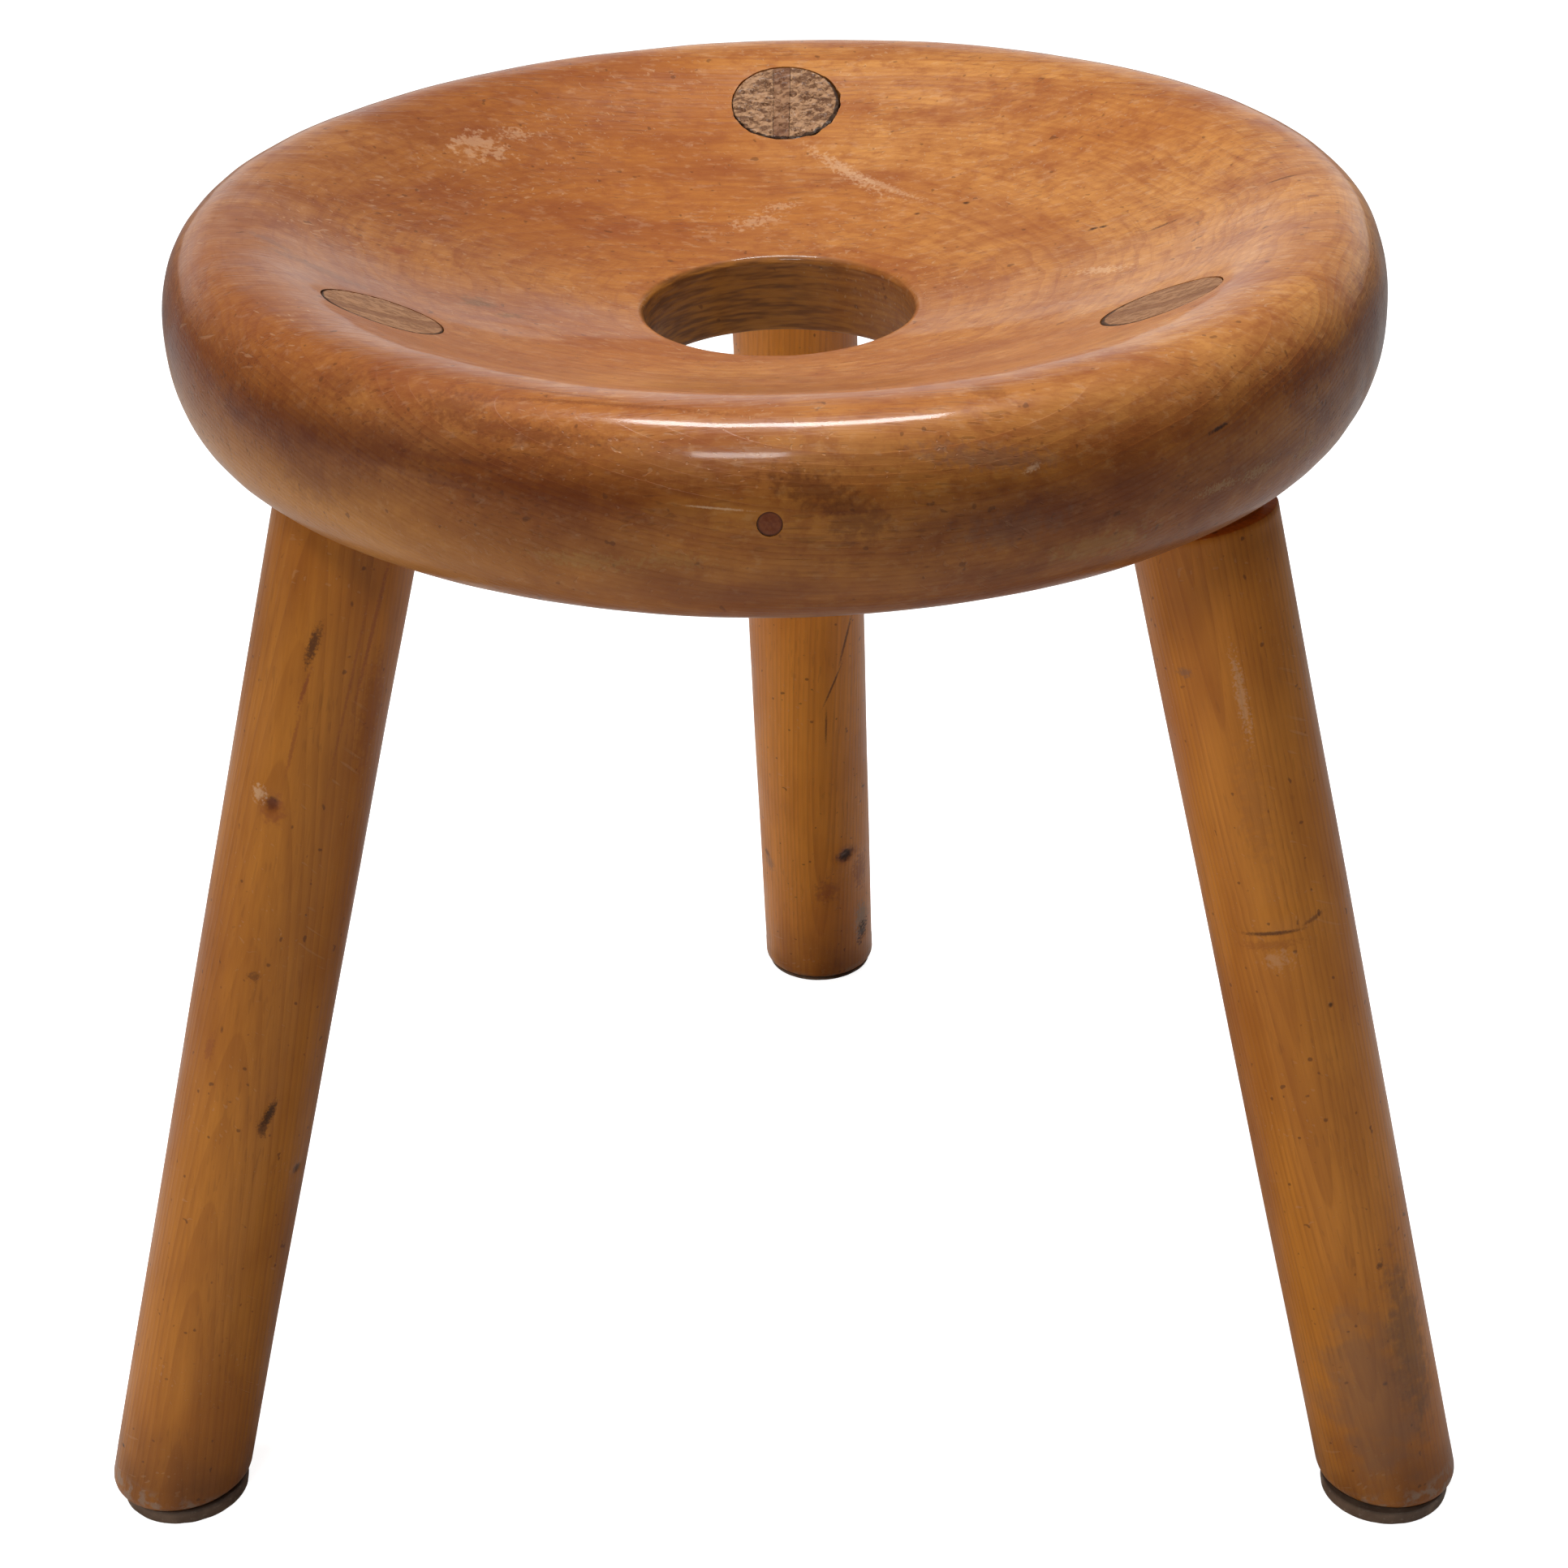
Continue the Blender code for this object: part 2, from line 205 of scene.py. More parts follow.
make_floor()
make_cove()
make_light("overhead", (0.0, 0.10, 2.2), (0, 0, 0.3), (1.0, 0.30), 38)
make_light("front", (-0.35, -2.0, 2.25), (0, 0, 0.3), (0.7, 0.30), 15)
left_fill = make_light("left_fill", (-2.3, -0.9, 0.7), (0, 0, 0.25), (0.8, 1.0), 17)
left_fill.visible_glossy = False  # a fill only: it draws no highlight of its own
bpy.context.scene.view_settings.view_transform = "Standard"

# %% [markdown]
# ## Helpers for skins
# Every piece of this stool is round, so every piece is a stack of rings of points. One helper turns
# such a stack into a mesh. A stack whose last ring joins the first makes a ring like the seat. An open
# stack is closed with a point at each end.

# %% Turn rings of points into a mesh
def skin(name, rings, looped=False):
    """A mesh through rings of points, given as an array of rings by points by x, y, z."""
    rows, columns = rings.shape[:2]
    points = rings.reshape(-1, 3)
    faces = []
    for row in range(rows if looped else rows - 1):
        here, there = row * columns, (row + 1) % rows * columns
        for column in range(columns):
            after = (column + 1) % columns
            faces.append((here + column, here + after, there + after, there + column))
    if not looped:
        points = np.vstack([points, rings[0].mean(axis=0), rings[-1].mean(axis=0)])
        last = (rows - 1) * columns
        for column in range(columns):
            after = (column + 1) % columns
            faces.append((rows * columns, after, column))
            faces.append((rows * columns + 1, last + column, last + after))
    mesh = bpy.data.meshes.new(name)
    mesh.from_pydata(points.tolist(), [], faces)
    solid = bmesh.new()
    solid.from_mesh(mesh)
    bmesh.ops.recalc_face_normals(solid, faces=solid.faces)
    solid.to_mesh(mesh)
    solid.free()
    return mesh


def stand(name, mesh, place):
    """A mesh as an object whose own axes are the wood's axes."""
    made = bpy.data.objects.new(name, mesh)
    made.matrix_world = place
    bpy.context.scene.collection.objects.link(made)
    return made


def carve(made, cutters, operation="DIFFERENCE"):
    """Cut other objects out of one, or keep only what they share, and throw the cutters away."""
    for cutter in cutters:
        step = made.modifiers.new(cutter.name, "BOOLEAN")
        step.operation = operation
        step.solver = "EXACT"
        step.object = cutter
    bpy.context.view_layer.update()
    cut = bpy.data.meshes.new_from_object(made.evaluated_get(bpy.context.evaluated_depsgraph_get()))
    made.modifiers.clear()
    made.data = cut


def throw_away(objects):
    for scrap in objects:
        bpy.data.objects.remove(scrap)


def finish_piece(made, node, look, sharp_degrees=40):
    """Shade a piece smoothly except at real edges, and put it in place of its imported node."""
    made.data.shade_smooth()
    made.data.set_sharp_from_angle(angle=radians(sharp_degrees))
    made.data.materials.clear()
    made.data.materials.append(look)
    made.data.transform(made.matrix_world)
    made.matrix_world = Matrix()
    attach(made, "root")
    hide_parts(node)
    print(made.name, len(made.data.polygons), "faces")


def drift(points, scale, seed):
    """Smooth noise from -1 to 1 at each point, changing over about one scale length per axis."""
    shifted = points / np.array(scale) + seed * np.array([7.3, 3.1, 5.7])
    return np.array([noise.noise(Vector(p)) for p in shifted.reshape(-1, 3)]).reshape(points.shape[:-1])

# %% [markdown]
# ## The seat's section
# The seat is one thick slab turned into a shallow bowl with a fat round rim, then dried a little oval
# and eased by hand into three faint lobes. The section is drawn once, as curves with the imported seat's
# own sizes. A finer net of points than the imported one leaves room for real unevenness.

# %% Draw the seat's section
seat_low, seat_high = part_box("seat")
CREST_HEIGHT = seat_high.z
UNDERSIDE_HEIGHT = seat_low.z
SEAT_RADIUS = 0.180
CREST_INSET = 0.019
WIDEST_DROP = 0.029
UNDERSIDE_INSET = 0.0214
DISH_DEPTH = 0.0332
DISH_SLOPE = 0.177
DISH_INNER_EASE = 0.85
DISH_OUTER_EASE = 0.232
UPPER_RIM_FULLNESS = 2.25
LOWER_RIM_FULLNESS = 2.27
HOLE_RADIUS = 0.0408
HOLE_TOP_ROUND = 0.0025
HOLE_FOOT_ROUND = 0.0022
SEAT_OVAL = 0.0016
GRAIN_TURN = radians(3.6)
SEAT_LOBES = 0.0017
LOBE_TURN = radians(47.4)
crest_radius = SEAT_RADIUS - CREST_INSET
widest_height = CREST_HEIGHT - WIDEST_DROP
lip_height = CREST_HEIGHT - DISH_DEPTH


def dish_curve(count):
    start, end = (HOLE_RADIUS + HOLE_TOP_ROUND, lip_height), (crest_radius, CREST_HEIGHT)
    width = end[0] - start[0]
    inner = (start[0] + DISH_INNER_EASE * width, start[1] + DISH_INNER_EASE * width * DISH_SLOPE)
    outer = (end[0] - DISH_OUTER_EASE * width, end[1])
    points = interpolate_bezier(*[Vector((*p, 0)) for p in (start, inner, outer, end)], count)
    return np.array([(p.x, p.y) for p in points])


def rim_curve(inset, drop, fullness, count):
    """From the widest point to where the rim meets the crest or the underside."""
    turn = np.linspace(0, pi / 2, count)
    along = np.cos(turn).clip(0) ** (2 / fullness)
    rise = drop * np.sin(turn) ** (2 / fullness)
    return np.stack([SEAT_RADIUS - inset * (1 - along), widest_height + rise], -1)


def evened(points, count):
    """The same curve with evenly spaced points, without the last one."""
    steps = np.concatenate([[0], np.cumsum(np.hypot(*np.diff(points, axis=0).T))])
    places = np.linspace(0, steps[-1], count, endpoint=False)
    return np.stack([np.interp(places, steps, points[:, i]) for i in (0, 1)], -1)


def corner_curve(start, corner, end, count=24):
    return np.array([(p.x, p.y) for p in interpolate_bezier(
        *[Vector((*p, 0)) for p in (start, np.array(start) * 0.45 + np.array(corner) * 0.55,
                                    np.array(end) * 0.45 + np.array(corner) * 0.55, end)], count)])


upper_rim = rim_curve(CREST_INSET, WIDEST_DROP, UPPER_RIM_FULLNESS, 200)[::-1]
lower_rim = rim_curve(UNDERSIDE_INSET, UNDERSIDE_HEIGHT - widest_height, LOWER_RIM_FULLNESS, 200)
lip = (HOLE_RADIUS + HOLE_TOP_ROUND, lip_height)
foot_of_wall = (HOLE_RADIUS, UNDERSIDE_HEIGHT + HOLE_FOOT_ROUND)
top_of_wall = (HOLE_RADIUS, lip_height - HOLE_TOP_ROUND)
underside = np.array([(SEAT_RADIUS - UNDERSIDE_INSET, UNDERSIDE_HEIGHT),
                      (HOLE_RADIUS + HOLE_FOOT_ROUND, UNDERSIDE_HEIGHT)])
# each stretch with its number of points
section = np.vstack([
    evened(dish_curve(300), 68),
    evened(upper_rim, 26),
    evened(lower_rim, 22),
    evened(underside, 20),
    evened(corner_curve(underside[-1], (HOLE_RADIUS, UNDERSIDE_HEIGHT), foot_of_wall), 5),
    evened(np.array([foot_of_wall, top_of_wall]), 40),
    evened(corner_curve(top_of_wall, (HOLE_RADIUS, lip_height), lip), 6),
])
print("points round the section:", len(section))

# %% [markdown]
# ## The seat's surface
# Each point of the section goes round the axis, and its radius grows or shrinks with the seat's oval
# and lobes. Then every point moves a fraction of a millimetre: broad scraper waves on the dish and rim,
# and fine tool rings in the hand hole. These are what break up the shine on a real seat.

# %% Turn the section into a seat
SEAT_COLUMNS = 440
SCRAPER_WAVE = 0.00028
TOOL_RING = 0.00003
TOOL_RING_PITCH = 0.0019
WALL_FADE = 0.0012  # the tool rings fade out this far from the wall
FLAT_FADE = 0.0004
dish_line = dish_curve(300)


def rim_offset(turn):
    return SEAT_OVAL * np.cos(2 * (turn - GRAIN_TURN)) + SEAT_LOBES * np.cos(3 * (turn - LOBE_TURN))


def scraper_waves(points):
    """How far hand scraping left the surface up or down, in metres."""
    long, short = drift(points, (0.045, 0.030, 0.030), 1), drift(points, (0.016, 0.011, 0.012), 2)
    return SCRAPER_WAVE * (long + 0.4 * short)


def dish_height(x, y):
    """Height of the dish at places measured from the seat's middle."""
    away, turn = np.hypot(x, y), np.arctan2(y, x)
    growth = rim_offset(turn) / (SEAT_RADIUS - HOLE_RADIUS)
    plain = (away + HOLE_RADIUS * growth) / (1 + growth)
    height = np.interp(plain, dish_line[:, 0], dish_line[:, 1])
    return height + scraper_waves(np.stack([x, y, height], -1))


def seat_rings():
    turn = np.linspace(0, 2 * pi, SEAT_COLUMNS, endpoint=False)[None, :]
    radius, height = section[:, :1], section[:, 1:] + 0 * turn
    share = (radius - HOLE_RADIUS) / (SEAT_RADIUS - HOLE_RADIUS)
    radius = radius + share * rim_offset(turn)
    along = np.roll(section, -1, axis=0) - np.roll(section, 1, axis=0)
    outward = np.stack([along[:, 1], -along[:, 0]], -1) / np.hypot(*along.T)[:, None]
    if outward[0, 1] < 0:
        outward = -outward
    points = np.stack([radius * np.cos(turn), radius * np.sin(turn), height], -1)
    rise = scraper_waves(points)
    in_hole = np.clip((HOLE_RADIUS + WALL_FADE - radius) / WALL_FADE, 0, 1)
    rise = rise + in_hole * TOOL_RING * np.sin(2 * pi * height / TOOL_RING_PITCH + 0.8 * np.sin(2 * turn))
    flat = np.clip((UNDERSIDE_HEIGHT + FLAT_FADE - height) / FLAT_FADE, 0, 1)
    rise = np.where(flat > 0, -abs(rise) * 0.6, rise)
    radius = radius + rise * outward[:, :1]
    height = (height + rise * outward[:, 1:]).clip(UNDERSIDE_HEIGHT, CREST_HEIGHT)
    return np.stack([radius * np.cos(turn), radius * np.sin(turn), height], -1)


seat_place = Matrix.Translation(seat_middle)
seat = stand("seat_skin", skin("seat_skin", seat_rings(), looped=True), seat_place)
print("seat net:", len(seat.data.vertices), "points")

# %% [markdown]
# ## Where the legs stand
# Each leg was bored and driven by eye, so each has its own lean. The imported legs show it: the middle of
# a level slice near the floor and of one near the seat both lie on the leg's axis. The leg's own frame
# has Z along the wood and X to the right, so its marks can be set out as height and distance across.

# %% Measure the legs
LEG_RADIUS = 0.0219
TENON_RADIUS = 0.0176
SIDES = ("rear", "left", "right")


def slice_middle(node, height):
    """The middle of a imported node's outline where a level plane cuts it."""
    mesh = frame["nodes"][node].data
    points = np.array([corner.co for corner in mesh.vertices])
    low, high = points[np.array([edge.vertices for edge in mesh.edges])].transpose(1, 0, 2)
    crossing = (low[:, 2] - height) * (high[:, 2] - height) < 0
    low, high = low[crossing], high[crossing]
    cut = low + ((height - low[:, 2]) / (high[:, 2] - low[:, 2]))[:, None] * (high - low)
    return Vector(cut.mean(axis=0))


def leg_place(side):
    low, high = slice_middle(f"leg_{side}", 0.05), slice_middle(f"leg_{side}", 0.32)
    along = (high - low).normalized()
    across = Vector((1, 0, 0))
    across = (across - across.dot(along) * along).normalized()
    turn = Matrix((across, along.cross(across), along)).transposed().to_4x4()
    return Matrix.Translation(low - along * (low.z / along.z)) @ turn


leg_places = {side: leg_place(side) for side in SIDES}
for side, place in leg_places.items():
    print(side, "leg stands at", [round(c, 4) for c in place.translation])

# %% [markdown]
# ## The legs
# A leg is a turned rod with a square shoulder and a thinner tenon that comes up through the seat. Its
# foot is cut level with the floor and its tenon was trimmed flush with the dish, so both ends slant
# across the rod. Each ring of points therefore slides along the wood until it reaches its plane.

# %% Shape a leg
LEG_COLUMNS = 132
FOOT_ROUND = 0.0040
SHOULDER_ROUND = 0.0008
SHOULDER_GAP = 0.0003
LEG_WAVE = 0.00022
BODY_RINGS = 232
TENON_EDGE = 0.0003
END_RINGS = 30
STANDOFF = {"rear": 0.0, "left": 0.0, "right": 0.0098}
leg_turn = np.linspace(0, 2 * pi, LEG_COLUMNS, endpoint=False)


def level_reach(place, height, x, y):
    """How far along the leg a line at x, y has to go to reach a height above the floor."""
    up = place.to_3x3().row[2]
    return (height - up[0] * x - up[1] * y) / up[2]


def dish_reach(place, x, y):
    """How far along the leg a line at x, y meets the dish."""
    turn, start = np.array(place.to_3x3()), np.array(place.translation - seat_middle)
    reach = level_reach(place, lip_height, x, y)
    for _ in range(8):
        spot = start + np.stack([x, y, reach], -1) @ turn.T
        reach = level_reach(place, dish_height(spot[..., 0], spot[..., 1]), x, y)
    return reach


def shoulder_reach(side):
    """The shoulder is square across the leg, and its inner edge just meets the seat's underside."""
    up = leg_places[side].to_3x3().row[2]
    lean = (up[0] ** 2 + up[1] ** 2) ** 0.5
    return (UNDERSIDE_HEIGHT - SHOULDER_GAP - LEG_RADIUS * lean) / up[2] - STANDOFF[side]


def leg_rings(side, dents=()):
    place = leg_places[side]
    foot_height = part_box(f"leg_{side}")[0].z
    shoulder = shoulder_reach(side)
    unit = np.stack([np.cos(leg_turn), np.sin(leg_turn)], -1)

    def ring(radius, reach):
        return np.concatenate([radius * unit, np.reshape(reach, (-1, 1)) + np.zeros((LEG_COLUMNS, 1))], 1)

    def foot_cut(radius):
        return level_reach(place, foot_height, radius * unit[:, 0], radius * unit[:, 1])

    rings = [ring(radius, foot_cut(radius)) for radius in np.linspace(0.002, LEG_RADIUS - FOOT_ROUND, 8)]
    for turn in np.linspace(0, pi / 2, 7)[1:]:
        inset = FOOT_ROUND * (1 - sin(turn))
        rings.append(ring(LEG_RADIUS - inset, foot_cut(LEG_RADIUS) + FOOT_ROUND * (1 - cos(turn))))
    body_start = foot_cut(LEG_RADIUS) + FOOT_ROUND
    body_end = shoulder - SHOULDER_ROUND
    for share in np.linspace(0, 1, BODY_RINGS)[1:]:
        rings.append(ring(LEG_RADIUS, body_start + share * (body_end - body_start)))
    rings.append(ring(LEG_RADIUS - SHOULDER_ROUND * 0.3, shoulder - SHOULDER_ROUND * 0.3))
    rings.append(ring(LEG_RADIUS - SHOULDER_ROUND, shoulder))
    rings.append(ring(TENON_RADIUS, shoulder))
    side_end = dish_reach(place, TENON_RADIUS * unit[:, 0], TENON_RADIUS * unit[:, 1])
    for share in np.linspace(0, 1, 8)[1:]:
        rings.append(ring(TENON_RADIUS, shoulder + share * (side_end - TENON_EDGE - shoulder)))
    for radius in np.linspace(TENON_RADIUS - TENON_EDGE, 0.0006, END_RINGS):
        rings.append(ring(radius, dish_reach(place, radius * unit[:, 0], radius * unit[:, 1])))
    return np.array(rings)


def roughen_leg(side, rings):
    """Spokeshave waves on the body, then the leg's own dents, as sideways moves of the skin."""
    body = (rings[..., 2] > FOOT_ROUND * 3) & (rings[..., 2] < shoulder_reach(side) - 0.003)
    away = np.hypot(rings[..., 0], rings[..., 1])
    seed = 11 + SIDES.index(side)
    rise = LEG_WAVE * (drift(rings, (0.018, 0.018, 0.07), seed) - 0.35)
    for x, height, half_width, half_height, depth in LEG_DENTS[side]:
        facing = rings[..., 1] < 0
        beside = (rings[..., 0] - x / 1000) / half_width * 1000
        above = (rings[..., 2] - height / 1000) / half_height * 1000
        spread = beside ** 2 + above ** 2
        rise = rise - facing * depth / 1000 * np.exp(-spread)
    scale = 1 + np.where(body, rise / away, 0)
    rings[..., 0] *= scale
    rings[..., 1] *= scale
    return rings


# x, height, half width, half height, depth, in millimetres on the front of the leg
LEG_DENTS = {
    "rear": [
        (12.3, 75.3, 2.6, 2.6, 0.7), (12.3, 75.3, 6, 7, -0.5),
        (18, 24, 1.6, 2.5, 0.5), (17, 31, 1.3, 2.0, 0.4)],
    "left": [
        (-5.1, 260, 1.8, 2.0, 0.9), (-9.5, 261, 4, 5, -0.25),
        (9.5, 155.7, 1.2, 4.5, 0.7), (19.9, 132.8, 1.0, 2.0, 0.4)],
    "right": [(-4, 214.5, 10, 1.1, 0.35), (-4, 219, 11, 3.5, -0.45), (0, 81, 6, 1.4, -0.15)],
}


# %% [markdown]
# ## Tenons, kerfs and wedges
# The end of a tenon is end grain, which wears rough: soft spring wood is lost and harder wood stands.
# The rear one is the worst. Its small pits are real hollows here. A wedge driven into a saw kerf
# spreads the tenon, and was trimmed with it, so the wedge is cut out of the same worn surface.

# %% Wear the tenon ends
END_PITS = {"rear": 0.00085, "left": 0.00010, "right": 0.00012}
PIT_SHARE = 0.45


def wear_tenon_end(side, rings):
    end = rings[-END_RINGS:]
    seed = 21 + SIDES.index(side)
    flat = end * np.array([1, 1, 0])
    coarse, fine = drift(flat, (0.0016, 0.0013, 1), seed), drift(flat, (0.0007, 0.0006, 1), seed + 3)
    pits = np.clip(coarse + 0.35 * fine - 0.05, 0, PIT_SHARE) / PIT_SHARE
    swell = drift(flat, (0.006, 0.006, 1), seed + 5)
    end[..., 2] -= END_PITS[side] * (pits + 0.3 * swell)
    return rings


# %% Saw the kerfs and drive the wedges
WEDGE_THICKNESS = 0.006
WEDGE_TIP = 0.0014
KERF_ROOM = 0.00013
BLOCK_SPARE = 0.020
BLOCK_SIDE = 2 * BLOCK_SPARE


def wedge_block(side, room, name):
    """A tapered block through the tenon, thin across the seat's radius."""
    place = leg_places[side]
    turn = place.to_3x3()
    wedge_low, wedge_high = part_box(f"wedge_{side}")
    height = 0.5 * (wedge_low.z + wedge_high.z)
    on_axis = place @ Vector((0, 0, level_reach(place, height, 0, 0)))
    outward = Vector((on_axis.x - seat_middle.x, on_axis.y - seat_middle.y, 0)).normalized()
    thin = turn.transposed() @ Vector((-outward.y, outward.x, 0))
    thin = Vector((thin.x, thin.y)).normalized()
    wide = Vector((-thin.y, thin.x))
    miss = turn.transposed() @ (slice_middle(f"wedge_{side}", height) - on_axis)
    shift = thin.x * miss.x + thin.y * miss.y
    bottom = level_reach(place, wedge_low.z, 0, 0)
    dish = level_reach(place, wedge_high.z, 0, 0)
    rings = []
    for reach in (bottom - 2 * room, dish + BLOCK_SPARE):
        half = 0.5 * (WEDGE_TIP + (WEDGE_THICKNESS - WEDGE_TIP) * (reach - bottom) / (dish - bottom)) + room
        corners = [(-half, -BLOCK_SIDE), (half, -BLOCK_SIDE), (half, BLOCK_SIDE), (-half, BLOCK_SIDE)]
        rings.append([[*(thin * (shift + a) + wide * b), reach] for a, b in corners])
    return stand(name, skin(name, np.array(rings)), place)


legs, wedges = {}, {}
for side in SIDES:
    rings = wear_tenon_end(side, roughen_leg(side, leg_rings(side)))
    legs[side] = stand(f"leg_{side}_skin", skin(f"leg_{side}_skin", rings), leg_places[side])
    wedges[side] = stand(f"wedge_{side}_skin", legs[side].data.copy(), leg_places[side])
    cutters = [wedge_block(side, KERF_ROOM, "kerf_block"), wedge_block(side, 0, "wedge_block")]
    carve(legs[side], cutters[:1])
    carve(wedges[side], cutters[1:], "INTERSECT")
    throw_away(cutters)
    print(side, "leg", len(legs[side].data.polygons), "faces, wedge", len(wedges[side].data.polygons))

# %% [markdown]
# ## Mortises and the plug
# The mortises were bored from above, and the drill chipped their edges a little, most of all at the
# rear. Cutting them with a slightly ragged rod leaves the thin dark line that shows round each tenon.
# The small plug fills an old hole in the rim and was sanded with it, so its face follows the rim.

# %% Bore the mortises and fit the plug
MORTISE_ROOM = 0.00028
MORTISE_CHIPS = {"rear": 0.00085, "left": 0.00025, "right": 0.00025}
MORTISE_CUT = 0.09
CHIP_SIZE = 0.004
PLUG_ROOM = 0.00012
PLUG_SUNK = 0.00012


def mortise_rod(side):
    place = leg_places[side]
    start = level_reach(place, UNDERSIDE_HEIGHT, 0, 0) - 0.012
    rings = []
    for reach in np.linspace(start, start + MORTISE_CUT, 46):
        line = np.stack([np.cos(leg_turn), np.sin(leg_turn), 0 * leg_turn], -1)
        wall = line * TENON_RADIUS + [0, 0, reach * 0.4]
        chips = drift(wall, (CHIP_SIZE, CHIP_SIZE, CHIP_SIZE), 31 + SIDES.index(side)).clip(0)
        lean = 0.5 - 0.5 * np.sin(leg_turn - 0.6)  # most of the chips are on the side towards the hand hole
        radius = TENON_RADIUS + MORTISE_ROOM + MORTISE_CHIPS[side] * chips * (0.4 + 1.1 * lean)
        rings.append(line * radius[:, None] + [0, 0, reach])
    return stand(f"mortise_{side}", skin(f"mortise_{side}", np.array(rings)), place)


plug_low, plug_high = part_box("rim_plug")
plug_radius = (plug_high.z - plug_low.z) / 2
plug_centre = (plug_low + plug_high) / 2
plug_outward = Vector((plug_centre.x - seat_middle.x, plug_centre.y - seat_middle.y, 0)).normalized()
plug_across = Vector((-plug_outward.y, plug_outward.x, 0))
plug_place = Matrix((plug_across, Vector((0, 0, 1)), plug_outward)).transposed().to_4x4()
plug_place = Matrix.Translation((seat_middle.x, seat_middle.y, plug_centre.z)) @ plug_place
plug_start = (Vector((plug_centre.x, plug_high.y, 0)) - Vector((seat_middle.x, seat_middle.y, 0))).length
plug_turn = np.arctan2(plug_outward.y, plug_outward.x)
rim_line = upper_rim[::-1]


def rim_reach(x, rise):
    """How far the rim's surface is from the seat's axis at a place on the plug's face."""
    away = np.interp(plug_centre.z + rise, rim_line[:, 1], rim_line[:, 0]) + rim_offset(plug_turn)
    return np.sqrt(away**2 - x**2)


def plug_rings(radius, start, end_offset, face_rings):
    turn = np.linspace(0, 2 * pi, 48, endpoint=False)
    unit = np.stack([np.cos(turn), np.sin(turn)], -1)
    edge = rim_reach(radius * unit[:, 0], radius * unit[:, 1]) + end_offset
    shares = np.linspace(0, 1, 6)
    rings = [np.column_stack([radius * unit, start + share * (edge - start)]) for share in shares]
    for share in np.linspace(0.93, 0.05, face_rings):
        spots = radius * share * unit
        reach = rim_reach(spots[:, 0], spots[:, 1]) + end_offset
        ring = np.column_stack([spots, reach])
        ring[:, 2] += 0.00008 * drift(ring, (0.0012, 0.0012, 1), 41)
        rings.append(ring)
    return np.array(rings)


plug_net = plug_rings(plug_radius, plug_start, -PLUG_SUNK, 12)
plug = stand("rim_plug_skin", skin("rim_plug_skin", plug_net), plug_place)
bore = plug_rings(plug_radius + PLUG_ROOM, plug_start - 0.0006, 0.004, 2)
cutters = [mortise_rod(side) for side in SIDES] + [stand("plug_bore", skin("plug_bore", bore), plug_place)]
carve(seat, cutters)
throw_away(cutters)
print("seat", len(seat.data.polygons), "faces after boring")

# %% [markdown]
# ## The pads
# A dark rubber disc was stuck under each foot by hand, a little off centre. The pads are level discs
# whose edges have bulged, rubbed round and picked up nicks, so each outline wanders slightly.

# %% Cut the pads
PAD_NICK = 0.00035
PAD_EASE = 0.0007


def pad_rings(low, high, seed):
    turn = np.linspace(0, 2 * pi, 96, endpoint=False)
    radius, thickness = (high.x - low.x) / 2, high.z - low.z
    circle = np.stack([np.cos(turn), np.sin(turn), 0 * turn], -1)
    nicks = -PAD_NICK * drift(circle, (0.16, 0.16, 1), seed).clip(0.15) + 0.00005
    ease = min(PAD_EASE, thickness * 0.3)
    outline = [(0.004, 0), (0.4 * radius, 0), (radius - ease, 0), (radius - 0.3 * ease, 0.3 * ease)]
    outline += [(radius, thickness * share) for share in (0.3, 0.5, 0.7)]
    outline += [(radius - 0.3 * ease, thickness - 0.3 * ease), (radius - ease, thickness)]
    outline += [(0.4 * radius, thickness), (0.004, thickness)]
    rings = []
    for away, height in outline:
        line = away + nicks * (away > 0.8 * radius)
        rings.append(np.stack([line * np.cos(turn), line * np.sin(turn), height + 0 * turn], -1))
    return np.array(rings)


pads = {}
for side in SIDES:
    low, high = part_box(f"foot_pad_{side}")
    middle = (low + high) / 2
    name = f"foot_pad_{side}_skin"
    net = skin(name, pad_rings(low, high, 51 + SIDES.index(side)))
    pads[side] = stand(name, net, Matrix.Translation((middle.x, middle.y, low.z)))
    print(name, [round(c * 1000, 1) for c in high - low])


# %% [markdown]
# ## Tools for materials
# A material is a net of nodes. These helpers join those of the light step. Each adds one node and links
# it in the same line, so each finish below reads from the wood's coordinates down to its colour.

# %% Node helpers
def plus(tree, a, b):
    return sums(tree, "ADD", a, b)


def minus(tree, a, b):
    return sums(tree, "SUBTRACT", a, b)


def vectors(tree, operation, a, b=(0, 0, 0)):
    return add(tree, "VectorMath", {0: a, 1: b}, operation=operation).outputs[0]


def mix(tree, share, a, b, blend="MIX"):
    return add(tree, "Mix", {0: share, 6: a, 7: b}, data_type="RGBA", blend_type=blend).outputs[2]


def cloud(tree, place, scale, detail=3.0, roughness=0.55, squeeze=None):
    """Noise from 0 to 1 that changes over about 1 / scale metres, less along an axis that is squeezed."""
    if squeeze:
        place = vectors(tree, "MULTIPLY", place, squeeze)
    return add(tree, "TexNoise", {
        "Vector": place, "Scale": scale, "Detail": detail, "Roughness": roughness}).outputs["Fac"]


def length(tree, place):
    return add(tree, "VectorMath", {0: place}, operation="LENGTH").outputs["Value"]


def off_axis(tree, place):
    """Distance from the piece's own Z axis."""
    return length(tree, vectors(tree, "MULTIPLY", place, (1, 1, 0)))


def scaled(tree, place, factor):
    return add(tree, "VectorMath", {0: place, "Scale": factor}, operation="SCALE").outputs[0]


